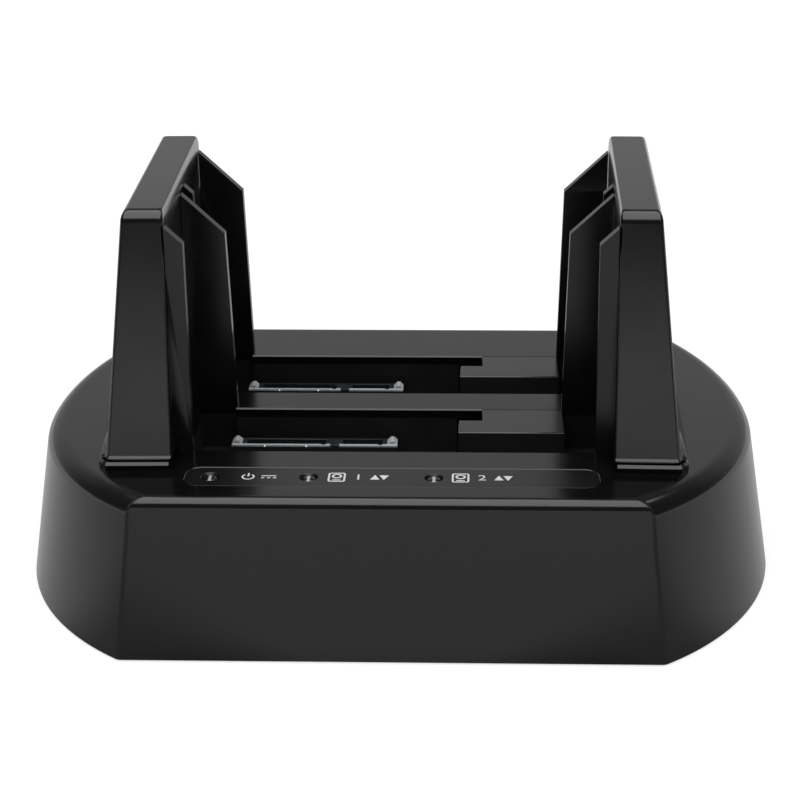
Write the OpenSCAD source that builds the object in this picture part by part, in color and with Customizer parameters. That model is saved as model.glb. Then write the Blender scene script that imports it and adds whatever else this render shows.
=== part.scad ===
// Twin-bay hard drive docking station: a flared base with two drive slots between side towers.
// X runs across the front, Y towards the back, Z up from the table. Sizes are in millimetres.

/* [Base] */
// Length of the base across the table
base_len = 195; // [185:1:215]
// Depth of the base on the table, front face to back face
base_dep = 124; // [120:1:140]
// Height of the deck above the table
deck_h = 41; // [39:0.5:50]
// Plan radius of the rounded ends at the table
end_r = 76.6; // [72:0.2:84]
// How far the rounded ends draw in on the way up
end_draft = 6.8; // [3:0.2:10]
// Extra radius of the fuller back half of each rounded end
back_fullness = 33; // [10:1:45]
// How far the front face draws in on the way up
front_draft = 5; // [2:0.2:6]
// How far the back face draws in on the way up
back_draft = 3.2; // [1:0.2:5]
// Rounding of the shoulder over the ends
shoulder_r = 4.8; // [2.6:0.2:6]
// Rounding of the rim over the front and back faces
rim_r = 2.4; // [1.2:0.2:4]
// Wall of the base housing
wall = 2.4; // [1.8:0.1:3]
// Thickness of the deck
deck_t = 2.5; // [2:0.1:3.2]
// Thickness of the bottom cover
cover_t = 2.5; // [2:0.1:3.5]
// Height of the rubber feet under the skirt
foot_h = 0.6; // [0.5:0.1:2]
// Diameter of a rubber foot
foot_d = 12; // [8:0.5:15]

/* [Drive bays] */
// Width of the wider drive
drive_w = 101.6; // [100:0.1:103]
// Thickness of the wider drive
drive_t = 26.1; // [25:0.1:27]
// Room beside the drive at each end of a slot
drive_side_room = 1.2; // [0.6:0.1:2]
// Room across the drive's thickness
drive_play = 1.1; // [0.6:0.1:1.6]
// Distance from one slot to the next
bay_pitch = 37.9; // [37:0.1:41]
// Deck in front of the first slot
front_land = 27.8; // [26.4:0.2:30]
// Depth at which a drive comes to rest below the deck
drive_seat = 12; // [11:0.2:13]
// Length of the deeper channel at each end of a slot
channel_len = 9.3; // [8:0.1:11]
// How much further back the end channels reach
channel_step = 2.2; // [1.5:0.1:3]
// Wall of the wells under the slots
well_wall = 1.8; // [1.4:0.1:2.2]
// Floor of the wells
well_floor = 2; // [1.5:0.1:2.4]

/* [Size flaps] */
// Left end of the flap, from the middle of the slot
flap_left = 15.7; // [14.5:0.1:18]
// Gap left open in front of the flap
flap_opening = 12.5; // [11.5:0.1:13.5]
// Thickness of the flap's plate
flap_t = 2; // [1.6:0.1:2.4]
// Height of the flap's skirt
flap_skirt = 6.5; // [5.5:0.1:7.5]
// Notch for the edge of a smaller drive, along the slot
notch_len = 6; // [4:0.1:8]
// Notch for the edge of a smaller drive, across the slot
notch_dep = 7; // [6:0.1:8]
// Diameter of the hinge pin
pin_d = 2; // [1.6:0.1:2.2]
// Depth of the hinge axis under the deck
hinge_drop = 5; // [4.8:0.1:5.6]
// Wire of the return spring
spring_wire = 0.6; // [0.4:0.05:0.7]
// Turns of the return spring
spring_turns = 7; // [5:1:9]

/* [Towers] */
// Height of the towers above the deck
tower_h = 62.3; // [55:0.5:75]
// Deck left between the end of a slot and the inner wall of a tower
tower_room = 1.5; // [1.2:0.1:4]
// Thickness of a tower at its top
tower_top_w = 9.9; // [9:0.1:12]
// Thickness of a tower at its foot
tower_foot_w = 16.1; // [14:0.1:17]
// Flare of the outer side at the foot
flare = 2.4; // [1:0.2:4]
// Height of that flare
flare_h = 20; // [10:1:30]
// How far behind the front face the flare starts
flare_inset = 3; // [3:0.2:8]
// Front of a tower at the foot, from the middle of the base
tower_front = 39.5; // [38:0.5:41]
// How far the front face leans back on the way up
tower_lean = 9.1; // [6:0.1:9.4]
// Back of a tower at the foot, from the middle of the base
tower_back = 43.3; // [42.8:0.1:44.5]
// How far the back face leans on the way up
tower_back_lean = 1.8; // [0.5:0.1:2]
// Turn of a tower away from the middle towards the back, in degrees
tower_toe = 1.35; // [0:0.05:2]
// Rounding of the tower's top edges
tower_r = 2.8; // [1.5:0.1:3.4]
// Wall of the tower shells
tower_wall = 2; // [1.5:0.1:2.4]
// Height of the plinth that a tower stands on
plinth_h = 1.3; // [0.8:0.1:2]
// Shadow gap between plinth and tower
plinth_gap = 0.8; // [0.5:0.1:1.2]

/* [Drive guides] */
// Thickness of the guide plate
guide_t = 1.5; // [1.2:0.1:1.6]
// Thickness of the guide fins
fin_t = 2.6; // [2:0.1:2.8]
// Free edge of the large fins, from the middle
fin_large = 43.1; // [42.8:0.1:45]
// Free edge of the small fins, from the middle
fin_small = 49.4; // [48.5:0.1:50.5]
// Top corner of the large fins below the tower's top
fin_large_drop = 15.2; // [14.6:0.2:18]
// Top corner of the small fins below the tower's top
fin_small_drop = 7.8; // [7.8:0.2:12]
// Top of the guide plates below the tower's top
guide_drop = 15; // [14:0.5:20]
// Fall of the fin tops towards the middle, in degrees
fin_slope = 43.5; // [40:0.5:44]

/* [Connectors] */
// Middle of the drive receptacle, from the middle of the slot
plug_x = -21.8; // [-22.5:0.1:-20.5]
// Length of the receptacle over its end posts
plug_len = 43.2; // [42:0.1:44]
// Thickness of the receptacle
plug_t = 4.6; // [4:0.1:5]
// Distance of the receptacle's middle from the slot's back edge
plug_back = 4.5; // [4.2:0.1:5]
// Top of the receptacle below the deck
plug_drop = 7.4; // [6.7:0.1:8.1]
// How far the end posts stand above the receptacle
post_h = 0.9; // [0.8:0.1:2]
// Height of the receptacle above the circuit board
plug_h = 8.1; // [7.9:0.1:8.9]
// Thickness of the circuit board
board_t = 1.6; // [1.2:0.2:2]
// Contacts of the power segment
power_pins = 15; // [15:1:15]
// Contacts of the signal segment
signal_pins = 7; // [7:1:7]
// Spacing of the contacts
pin_pitch = 1.27; // [1.27:0.01:1.27]

/* [Lights and rear panel] */
// Length of the indicator strip
strip_len = 99.6; // [94:0.2:102]
// Width of the indicator strip
strip_w = 10.2; // [8:0.2:11]
// Middle of the strip from the front of the deck
strip_back = 13.1; // [11.8:0.1:14.4]
// Thickness of the strip
strip_t = 0.7; // [0.5:0.1:1]
// Depth of the strip's top below the deck
strip_sink = 0.2; // [0.1:0.05:0.4]
// Diameter of a light guide
light_d = 3.6; // [3:0.1:4]
// Diameter of the power button
button_d = 7.4; // [6:0.1:8]
// Travel of the power button
button_travel = 1.6; // [1:0.1:1.8]
// Sliding clearance
slide_gap = 0.3; // [0.2:0.05:0.4]

/* [Hidden] */
$fn = 48;

satin = "#1c1c1d";
inner_black = "#141415";
connector_grey = "#b9bcbd";
gold = "#c9a24a";
steel = "#a9adb1";
board_green = "#1d5a35";
lens = "#d9dde0";
rubber = "#0f0f10";

// Steps of a rounded edge
arc_steps = 6;
// Small overlap that keeps cuts clean
cut = 1;
// Gap between parts that only touch
seat_gap = 0.1;

// Plan and height of the base
end_x = base_len / 2 - end_r;
rise = deck_h - foot_h;
deck_front = base_dep / 2 - front_draft;
deck_back = base_dep / 2 - back_draft;
deck_under = deck_h - deck_t;
cover_top = foot_h + cover_t;

function end_r_at(z) = end_r - end_draft * (z - foot_h) / rise;
function front_y_at(z) = base_dep / 2 - front_draft * (z - foot_h) / rise;
function back_y_at(z) = base_dep / 2 - back_draft * (z - foot_h) / rise;

// Slots
slot_half = drive_w / 2 + drive_side_room;
slot_t = drive_t + drive_play;
channel_in = slot_half - channel_len;
well_under = deck_h - drive_seat - well_floor;

function bay_front(bay) = -deck_front + front_land + bay * bay_pitch;
function bay_back(bay) = bay_front(bay) + slot_t;

// Flap hinge: the open flap's face stands a little before the slot's back edge, within the drive's play
flap_gap = 0.3;
flap_stand = 0.4;
flap_side_room = 0.5;
flap_front_room = 0.7;
flap_right = channel_in - seat_gap;
flap_dep = slot_t - flap_opening;
hinge_back = hinge_drop - flap_stand;
hinge_z = deck_h - hinge_drop;
knuckle_wall = 1;
knuckle_r = pin_d / 2 + knuckle_wall;
knuckle_len = 3;
knuckle_inset = 0.7;
lug_len = 2;
lug_wall = 1.4;
lug_r = pin_d / 2 + lug_wall;
pin_fit = 0.03;
hinge_fit = 0.08;
knuckle_1 = flap_left + notch_len + knuckle_inset;
knuckle_2 = flap_right - lug_len - slide_gap - knuckle_inset - knuckle_len;

// Power button and its switch, beside the rear flap
button_side = 9;
button_x = flap_left - button_side;
switch_w = 8.6;
switch_h = 9.8;
switch_dep = 9;
stem_d = 3.4;
stem_len = 4;

// Board and connectors
board_top = deck_h - plug_drop - plug_h;
board_flap_room = 2.2;
board_lamp_edge = 4;
board_wall_room = 3.8;
board_left = -58;
board_right = flap_left - board_flap_room;
board_front = -deck_front + strip_back - board_lamp_edge;
board_back = deck_back - board_wall_room;
floor_room = 0.4;
board_hole_d = 3.2;
hole_edge = 5;
hole_clear_of_lamps = 12.5;
usb_x = -14;
usb_w = 12;
board_holes = [
  [board_left + hole_edge, board_front + hole_edge],
  [board_right - hole_edge, board_front + hole_clear_of_lamps],
  [board_left + hole_edge, board_back - hole_edge],
  [(usb_x + usb_w / 2 + button_x - switch_w / 2) / 2, board_back - hole_edge]
];

// Rear panel: middles of the openings along the back
jack_x = -36;
jack_w = 9;
jack_h = 11;
jack_dep = 14;
jack_bore_d = 6.2;
jack_bore_dep = 9.5;
jack_pin_d = 2;
jack_pin_sink = 1;
usb_h = 11;
usb_dep = 16;
usb_mouth_w = 8.6;
usb_mouth_h = 7.8;
usb_mouth_dep = 10;
usb_mouth_lift = 1.6;
port_z = board_top + jack_h / 2;
port_recess = 0.5;
port_y = back_y_at(port_z) - port_recess;
button_z = board_top + switch_h / 2;
flange_t = 1;
flange_rim = 0.9;
flange_d = button_d + 2 * flange_rim;
flange_y = back_y_at(button_z + flange_d / 2) - wall - slide_gap - flange_t;
switch_y = flange_y - button_travel - slide_gap;

// Lights: places along the strip
light_x = [-43.8, -20, 10.2];
strip_y = -deck_front + strip_back;
strip_r = 3.6;
led_h = 1.2;
light_dome = 0.5;
light_rim = 0.6;
light_rim_dep = 0.5;

// Towers: inner wall from the middle of the base, foot and top
tower_in = slot_half + tower_room;
tower_z0 = deck_h + plinth_h + plinth_gap;
tower_z1 = deck_h + tower_h;
tower_boss_in = 8;
tower_mid_x = tower_in + tower_boss_in;
tower_screw_y = [-18, 22];
boss_d = 7;
pilot_d = 2.5;
screw_bite = 6;
screw_hole_d = 3.4;
head_d = 5.6;
head_h = 2;
peg_d = 4;
peg_y = [-14, 20];
peg_rise = 30;
peg_z = deck_h + peg_rise;
guide_top = tower_z1 - guide_drop;
guide_z0 = deck_h + plinth_h + seat_gap;
// Inner wall of a turned tower at depth y
function wall_x(y) = tower_in + (y + tower_front) * tan(tower_toe);

// Bottom cover fixings
cover_boss_inset = 22.5;
cover_boss_x = base_len / 2 - cover_boss_inset;
cover_boss_y = 25;
cover_boss_d = 8;
cover_pilot_dep = 14;
cover_screw_bite = 10;
head_floor = 0.9;
head_sink = cover_t - head_floor;
foot_inset = 29;
foot_x = base_len / 2 - foot_inset;
foot_y = 39;
foot_seat = 1;
foot_chamfer = 0.4;

// Outline helpers

// Points of an arc from angle a0 to angle a1
function arc(c, r, a0, a1) =
  [for (i = [0:arc_steps]) let (a = a0 + (a1 - a0) * i / arc_steps) c + r * [cos(a), sin(a)]];

// Rounded top corner of a wall that leans in from foot to top, on the right-hand side
function leaning_corner(foot, top, r) =
  let (lean = atan2(foot[0] - top[0], top[1] - foot[1]))
  let (mid = [top[0] - r * (1 - sin(lean)) / cos(lean), top[1] - r])
  r > 0 ? arc(mid, r, lean, 90) : [top];

function mirrored(points) =
  [for (i = [len(points) - 1:-1:0]) [-points[i][0], points[i][1]]];

// Extrudes an outline drawn in Y and Z along X, from x0 to x1
module along_x(x0, x1) {
  translate([x0, 0, 0]) rotate([90, 0, 90]) linear_extrude(x1 - x0) children();
}

// Extrudes an outline drawn in X and Z along Y, from y0 to y1
module along_y(y0, y1) {
  translate([0, y1, 0]) rotate([90, 0, 0]) linear_extrude(y1 - y0) children();
}

module box(x, y, z) {
  translate([x[0], y[0], z[0]]) cube([x[1] - x[0], y[1] - y[0], z[1] - z[0]]);
}

module rounded_bar(length, width, r) {
  square([length - 2 * r, width], center = true);
  square([length, width - 2 * r], center = true);
  for (sx = [-1, 1], sy = [-1, 1])
    translate([sx * (length / 2 - r), sy * (width / 2 - r)]) circle(r);
}

// Pan-head screw, head down at z, shank upwards
module screw(at, z, length) {
  recess_len = 3.4;
  recess_w = 0.7;
  recess_dep = 1;
  translate([at[0], at[1], z]) {
    difference() {
      cylinder(d = head_d, h = head_h);
      for (a = [0, 90])
        rotate(a) translate([-recess_len / 2, -recess_w / 2, -cut])
          cube([recess_len, recess_w, cut + recess_dep]);
    }
    translate([0, 0, head_h]) cylinder(d = pilot_d, h = length);
  }
}

// Base

// Right-hand end as a full turn, with an extra radius that keeps its widest point
module round_end(extra, inset, z0, z1, end_round) {
  foot = [end_r_at(z0) + extra - inset, z0];
  top = [end_r_at(z1) + extra - inset, z1];
  translate([end_x - extra, 0, 0]) rotate_extrude($fn = 96)
    polygon(concat([[0, z0], foot], leaning_corner(foot, top, end_round), [[0, z1]]));
}

// Base form between two heights, drawn in by an inset, with rounded top edges
module base_form(inset, z0, z1, end_round, face_round) {
  front = concat(
    [[front_y_at(z0) - inset, z0]],
    leaning_corner([front_y_at(z0) - inset, z0], [front_y_at(z1) - inset, z1], face_round)
  );
  back = concat(
    [[back_y_at(z0) - inset, z0]],
    leaning_corner([back_y_at(z0) - inset, z0], [back_y_at(z1) - inset, z1], face_round)
  );
  intersection() {
    union() {
      intersection() {
        union() {
          round_end(0, inset, z0, z1, end_round);
          mirror([1, 0, 0]) round_end(0, inset, z0, z1, end_round);
        }
        box([-base_len, base_len], [-base_dep, 0], [z0, z1]);
      }
      intersection() {
        round_end(back_fullness, inset, z0, z1, end_round);
        mirror([1, 0, 0]) round_end(back_fullness, inset, z0, z1, end_round);
        box([-base_len, base_len], [0, base_dep], [z0, z1]);
      }
    }
    along_x(-base_len, base_len) polygon(concat(back, mirrored(front)));
  }
}

// Opening of a slot, seen from above
module slot_outline(bay) {
  translate([-slot_half, bay_front(bay)]) square([2 * slot_half, slot_t]);
  for (s = [-1, 1])
    translate([s > 0 ? channel_in : -slot_half, bay_front(bay)])
      square([channel_len, slot_t + channel_step]);
}

// Lugs under the deck that hold a flap's hinge pin
module hinge_lugs(bay) {
  y = bay_back(bay) + hinge_back;
  for (x = [knuckle_1 - slide_gap - lug_len, knuckle_2 + knuckle_len + slide_gap])
    difference() {
      union() {
        along_x(x, x + lug_len) translate([y, hinge_z]) circle(lug_r);
        box([x, x + lug_len], [y - lug_r, y + lug_r], [hinge_z, deck_under + seat_gap]);
      }
      along_x(x - cut, x + lug_len + cut) translate([y, hinge_z]) circle(pin_d / 2 + pin_fit);
    }
}

// Turns what stands at the right-hand tower with it, about its front inner edge
module toed() {
  translate([tower_in, -tower_front, 0]) rotate([0, 0, -tower_toe])
    translate([-tower_in, tower_front, 0]) children();
}

// Level within the deck where the plinths start
plinth_root = deck_h - deck_t / 2;

// Slab up to the plinth's top that ends at x with a chamfered edge
module plinth_side(x) {
  top = deck_h + plinth_h;
  chamfer = plinth_h / 2;
  along_y(-base_dep, base_dep) polygon([
    [x - base_len, plinth_root],
    [x, plinth_root],
    [x, top - chamfer],
    [x - chamfer, top],
    [x - base_len, top]
  ]);
}

// Turn of the cut corners that lead the plinth and the flare out, in degrees
corner_turn = 39;

// Raised pad under a tower, with chamfered top edges and cut outer corners
module plinth() {
  edge = 0.4;
  front_edge = 1;
  foot = tower_in + tower_foot_w + edge;
  front = -tower_front - front_edge;
  back = tower_back + edge;
  top = deck_h + plinth_h;
  chamfer = plinth_h / 2;
  intersection() {
    plinth_side(foot + flare);
    translate([foot, front, 0]) rotate([0, 0, -corner_turn]) plinth_side(0);
    translate([foot, back, 0]) rotate([0, 0, corner_turn]) plinth_side(0);
    along_x(tower_in, foot + flare) polygon([
      [front, plinth_root],
      [back, plinth_root],
      [back, top - chamfer],
      [back - chamfer, top],
      [front + chamfer, top],
      [front, top - chamfer]
    ]);
  }
}

module rear_openings() {
  y0 = deck_back - 2 * wall;
  y1 = base_dep / 2 + cut;
  box([jack_x - jack_w / 2 - slide_gap, jack_x + jack_w / 2 + slide_gap], [y0, y1],
    [board_top - slide_gap, board_top + jack_h + slide_gap]);
  box([usb_x - usb_w / 2 - slide_gap, usb_x + usb_w / 2 + slide_gap], [y0, y1],
    [board_top - slide_gap, board_top + usb_h + slide_gap]);
  translate([button_x, y1, button_z]) rotate([90, 0, 0])
    cylinder(d = button_d + 2 * slide_gap, h = y1 - y0);
}

module top_housing() {
  color(satin) difference() {
    union() {
      difference() {
        base_form(0, foot_h, deck_h, shoulder_r, rim_r);
        base_form(wall, foot_h - cut, deck_under, shoulder_r - wall, 0);
      }
      for (s = [0, 1]) mirror([s, 0, 0]) toed() plinth();
      for (bay = [0, 1]) hinge_lugs(bay);
      for (sx = [-1, 1], sy = [-1, 1])
        translate([sx * cover_boss_x, sy * cover_boss_y, cover_top])
          cylinder(d = cover_boss_d, h = deck_under - cover_top + seat_gap);
    }
    for (bay = [0, 1])
      translate([0, 0, deck_under - cut]) linear_extrude(deck_t + 2 * cut) slot_outline(bay);
    translate([0, strip_y, deck_h - strip_sink - strip_t]) linear_extrude(deck_t)
      rounded_bar(strip_len + 2 * seat_gap, strip_w + 2 * seat_gap, strip_r + seat_gap);
    for (x = light_x)
      translate([x, strip_y, deck_under - cut]) cylinder(d = light_d + 2 * seat_gap, h = deck_t + cut);
    rear_openings();
    for (sx = [-1, 1], y = tower_screw_y)
      translate([sx * tower_mid_x, y, deck_under - cut])
        cylinder(d = screw_hole_d, h = deck_t + plinth_h + 2 * cut);
    for (sx = [-1, 1], sy = [-1, 1])
      translate([sx * cover_boss_x, sy * cover_boss_y, cover_top - cut])
        cylinder(d = pilot_d, h = cut + cover_pilot_dep);
  }
}

module bottom_cover() {
  vent_len = 26;
  vent_w = 2.4;
  vent_pitch = 6;
  vent_x = 22;
  vent_rows = 3;
  vent_r = vent_w / 2 - seat_gap;
  color(inner_black) difference() {
    union() {
      base_form(wall + slide_gap, foot_h, cover_top, 0, 0);
      for (at = board_holes)
        translate([at[0], at[1], cover_top - seat_gap])
          cylinder(d = boss_d, h = board_top - board_t - cover_top + seat_gap);
    }
    for (at = board_holes)
      translate([at[0], at[1], cover_top]) cylinder(d = pilot_d, h = board_top);
    for (sx = [-1, 1], sy = [-1, 1]) {
      translate([sx * cover_boss_x, sy * cover_boss_y, foot_h - cut]) {
        cylinder(d = screw_hole_d, h = cover_t + 2 * cut);
        cylinder(d = head_d + 2 * slide_gap, h = cut + head_sink);
      }
      translate([sx * foot_x, sy * foot_y, foot_h - cut])
        cylinder(d = foot_d + 2 * seat_gap, h = cut + foot_seat);
    }
    for (i = [-vent_rows:vent_rows], s = [-1, 1])
      translate([s * vent_x, i * vent_pitch, foot_h - cut]) linear_extrude(cover_t + 2 * cut)
        rounded_bar(vent_len, vent_w, vent_r);
  }
}

// Well under a slot: walls and floor, open under the flap and round the receptacle
module bay_well(bay) {
  y0 = bay_front(bay);
  y1 = bay_back(bay);
  flap_y = y1 - flap_dep;
  plug_y = y1 - plug_back;
  color(inner_black) difference() {
    box([-slot_half - well_wall, slot_half + well_wall],
      [y0 - well_wall, y1 + channel_step + well_wall], [well_under, deck_under]);
    translate([0, 0, well_under + well_floor]) linear_extrude(drive_seat + deck_t) slot_outline(bay);
    box([flap_left - flap_side_room, flap_right + flap_side_room],
      [flap_y - flap_front_room, y1 + bay_pitch], [well_under - cut, deck_h]);
    box([plug_x - plug_len / 2 - floor_room, plug_x + plug_len / 2 + floor_room],
      [plug_y - plug_t / 2 - floor_room, plug_y + plug_t / 2 + floor_room],
      [well_under - cut, deck_h - drive_seat + cut]);
  }
}

module front_bay_well() { bay_well(0); }
module rear_bay_well() { bay_well(1); }

// Towers

// Right-hand tower form drawn in by an inset, more on its inner side, from z0 up
module tower_form(inset, inner_inset, z0) {
  top = tower_z1 - inset;
  inner = tower_in + inner_inset;
  foot = [tower_in + tower_foot_w - inset, tower_z0];
  crown = [tower_in + tower_top_w - inset, tower_z1];
  outer_at = function (z) foot[0] + (crown[0] - foot[0]) * (z - tower_z0) / (tower_z1 - tower_z0);
  front_at = function (z) -tower_front + inset + tower_lean * (z - tower_z0) / (tower_z1 - tower_z0);
  back_at = function (z) tower_back - inset - tower_back_lean * (z - tower_z0) / (tower_z1 - tower_z0);
  round_end = max(tower_r - inset, 0.6);
  round_out = max(tower_r / 3 - inset, 0.5);
  soft_w = 0.8;
  soft_h = 2.7;
  intersection() {
    along_y(-base_dep, base_dep) polygon(concat(
      [[inner, z0], [outer_at(z0), z0]],
      leaning_corner([outer_at(z0), z0], [outer_at(top), top], round_out),
      [for (i = [0:arc_steps]) let (a = 90 * i / arc_steps)
        [inner + soft_w * (1 - sin(a)), top - soft_h * (1 - cos(a))]]
    ));
    along_x(0, base_len) polygon(concat(
      [[front_at(z0), z0], [back_at(z0), z0]],
      leaning_corner([back_at(z0), z0], [back_at(top), top], round_end),
      mirrored(leaning_corner([-front_at(z0), z0], [-front_at(top), top], round_end))
    ));
  }
}

// Flare along the foot of the outer side, thinning out upwards
module tower_flare() {
  steps = 8;
  foot = tower_in + tower_foot_w;
  slope = (tower_foot_w - tower_top_w) / (tower_z1 - tower_z0);
  outer_at = function (z) foot - slope * (z - tower_z0);
  intersection() {
    along_y(-tower_front + flare_inset, tower_back - flare_inset) polygon(concat(
      [[foot - tower_wall, tower_z0]],
      [for (i = [0:steps])
        let (t = i / steps, z = tower_z0 + flare_h * t) [outer_at(z) + flare * pow(1 - t, 2), z]],
      [[outer_at(tower_z0 + flare_h) - tower_wall / 2, tower_z0 + flare_h]]
    ));
    translate([foot, -tower_front + flare_inset, 0]) rotate([0, 0, -corner_turn])
      box([-base_len, 0], [-base_dep, base_dep], [0, tower_z1]);
    translate([foot, tower_back - flare_inset, 0]) rotate([0, 0, corner_turn])
      box([-base_len, 0], [-base_dep, base_dep], [0, tower_z1]);
  }
}

// Front and back ends of the guide plates
plate_front = bay_front(0) - fin_t;
plate_back = bay_back(1) + channel_step + fin_t;

// Tower shell: hollow, with a recess for the guide plate, a neck at the foot and webbed screw bosses
module tower_shell() {
  neck = 0.8;
  boss_h = 12;
  web_t = 1.6;
  web_end = neck + tower_wall / 2;
  web_step = 1;
  recess = guide_t + seat_gap;
  difference() {
    union() {
      toed() {
        difference() {
          tower_form(0, 0, tower_z0);
          tower_form(tower_wall, tower_wall + recess, tower_z0 - cut);
        }
        tower_flare();
        difference() {
          box([tower_in + neck, tower_in + tower_foot_w - neck],
            [-tower_front + neck, tower_back - neck], [deck_h + plinth_h, tower_z0 + tower_wall]);
          box([tower_in + recess + tower_wall, tower_in + tower_foot_w - neck - tower_wall],
            [-tower_front + neck + tower_wall, tower_back - neck - tower_wall],
            [deck_h, tower_z0 + 2 * tower_wall]);
        }
        for (y = tower_screw_y)
          box([tower_in + web_end, tower_in + tower_foot_w - web_end], [y - web_t / 2, y + web_t / 2],
            [deck_h + plinth_h + web_step, deck_h + boss_h - web_step]);
      }
      for (y = tower_screw_y)
        translate([tower_mid_x, y, deck_h + plinth_h]) cylinder(d = boss_d, h = boss_h - plinth_h);
    }
    toed() box([tower_in - cut, tower_in + recess], [plate_front - seat_gap, plate_back + seat_gap],
      [deck_h, guide_top + seat_gap]);
    for (y = tower_screw_y)
      translate([tower_mid_x, y, deck_h]) cylinder(d = pilot_d, h = boss_h - tower_wall);
    for (y = peg_y)
      translate([tower_in, y, peg_z]) rotate([0, 90, 0])
        cylinder(d = peg_d + 2 * seat_gap, h = wall_x(y) - tower_in + recess + tower_wall + cut);
  }
}

module right_tower_shell() { color(satin) tower_shell(); }
module left_tower_shell() { color(satin) mirror([1, 0, 0]) tower_shell(); }

// Fin with a top that falls towards the middle, from the plate to a leaning free edge
module fin(free_edge, lean, corner_drop, y) {
  bite = 0.3;
  bite_top = guide_top + seat_gap / 2;
  root = wall_x(y);
  corner = [free_edge + lean, tower_z1 - corner_drop];
  along_y(y, y + fin_t) polygon([
    [root - seat_gap, deck_h],
    [root - seat_gap, guide_z0],
    [root + bite, guide_z0],
    [root + bite, bite_top],
    [root - seat_gap, bite_top],
    [root - seat_gap, corner[1] + (root - seat_gap - corner[0]) * tan(fin_slope)],
    corner,
    [free_edge - lean, deck_h]
  ]);
}

// Guide set flush in a tower, with its fins: a small one before each drive, a large one behind it
module drive_guide() {
  rib_edge = tower_in - 1.3;
  rib_drop = fin_large_drop - (rib_edge - fin_large) * tan(fin_slope);
  large_lean = 0.6;
  small_lean = -0.2;
  toed() box([tower_in - seat_gap, tower_in + guide_t - seat_gap], [plate_front, plate_back],
    [guide_z0, guide_top]);
  fin(fin_small, small_lean, fin_small_drop, plate_front);
  fin(rib_edge, 0, rib_drop, bay_front(1) - fin_t);
  for (bay = [0, 1]) fin(fin_large, large_lean, fin_large_drop, bay_back(bay) + channel_step);
  for (y = peg_y)
    translate([wall_x(y), y, peg_z]) rotate([0, 90, 0]) cylinder(d = peg_d, h = guide_t + tower_wall);
}

module right_drive_guide() { color(inner_black) drive_guide(); }
module left_drive_guide() { color(inner_black) mirror([1, 0, 0]) drive_guide(); }

// Size flaps

// Flap that fills the slot behind a smaller drive and swings down for a wider one
module size_flap(bay) {
  y1 = bay_back(bay) - flap_gap;
  y0 = bay_back(bay) - flap_dep;
  axis_y = bay_back(bay) + hinge_back;
  notch_x = flap_left + notch_len;
  notch_y = bay_back(bay) - notch_dep;
  arm_top = deck_under - slide_gap;
  arm_t = 1.4;
  arm_root = 2;
  color(satin) difference() {
    union() {
      difference() {
        box([flap_left, flap_right], [y0, y1], [deck_h - flap_skirt, deck_h]);
        box([flap_left + flap_t, flap_right - flap_t], [y0 + flap_t, notch_y - flap_t],
          [deck_h - flap_skirt - cut, deck_h - flap_t]);
        box([notch_x + flap_t, flap_right - flap_t], [y0 + flap_t, y1 + cut],
          [deck_h - flap_skirt - cut, deck_h - flap_t]);
        box([flap_left - cut, notch_x], [notch_y, y1 + cut], [deck_h - flap_skirt - cut, deck_h + cut]);
      }
      for (x = [knuckle_1, knuckle_2])
        difference() {
          union() {
            along_x(x, x + knuckle_len) translate([axis_y, hinge_z]) circle(knuckle_r);
            along_x(x, x + knuckle_len) polygon([
              [y0 + flap_t, deck_h - flap_t],
              [y1 - flap_t / 2, deck_h - flap_t],
              [y1 - seat_gap, arm_top],
              [axis_y, hinge_z + knuckle_r],
              [axis_y, hinge_z - knuckle_r],
              [y1 - arm_root, hinge_z - knuckle_r],
              [y0 + flap_t, deck_h - flap_t - arm_t]
            ]);
          }
          along_x(x - cut, x + knuckle_len + cut) translate([axis_y, hinge_z])
            circle(pin_d / 2 + hinge_fit);
        }
    }
  }
}

module front_size_flap() { size_flap(0); }
module rear_size_flap() { size_flap(1); }

module flap_pin(bay) {
  x0 = knuckle_1 - slide_gap - lug_len;
  x1 = knuckle_2 + knuckle_len + slide_gap + lug_len;
  color(steel) along_x(x0, x1) translate([bay_back(bay) + hinge_back, hinge_z]) circle(pin_d / 2);
}

module front_flap_pin() { flap_pin(0); }
module rear_flap_pin() { flap_pin(1); }

// Torsion spring round the pin, with one leg under the flap and one under the deck
spring_room = 0.35;
spring_end_room = 1;
spring_r = pin_d / 2 + spring_room + spring_wire / 2;
spring_x0 = knuckle_1 + knuckle_len + spring_end_room;
spring_x1 = knuckle_2 - spring_end_room;
flap_leg = 10;
deck_leg_end = 0.6;
deck_leg = bay_pitch - slot_t - hinge_back - well_wall - deck_leg_end;
leg_room = seat_gap + spring_wire / 2;
spring_rings = 12;
spring_sides = 6;

function spring_path() =
  let (turn_step = (spring_x1 - spring_x0) / spring_turns, last = spring_turns * spring_rings)
  concat(
    [[spring_x0, -flap_leg, hinge_drop - flap_t - leg_room]],
    [for (i = [0:last]) let (a = 90 - 360 * i / spring_rings)
      [spring_x0 + turn_step * i / spring_rings, spring_r * cos(a), spring_r * sin(a)]],
    [[spring_x1, deck_leg, hinge_drop - deck_t - leg_room]]
  );

// Least gap between one turn of the spring and the next, measured on the path's points
function spring_gap(path) =
  min([for (i = [1:len(path) - 2 - spring_rings]) norm(path[i + spring_rings] - path[i])]) - spring_wire;

function unit(v) = v / norm(v);

// Ring of points round one point of a path that winds about the X axis
function path_ring(path, i) =
  let (last = len(path) - 1)
  let (along = unit(path[min(i + 1, last)] - path[max(i - 1, 0)]))
  let (side = unit(cross(along, [1, 0, 0])))
  let (up = cross(side, along))
  [for (k = [0:spring_sides - 1]) let (a = 360 * k / spring_sides)
    path[i] + spring_wire / 2 * (cos(a) * side + sin(a) * up)];

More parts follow.
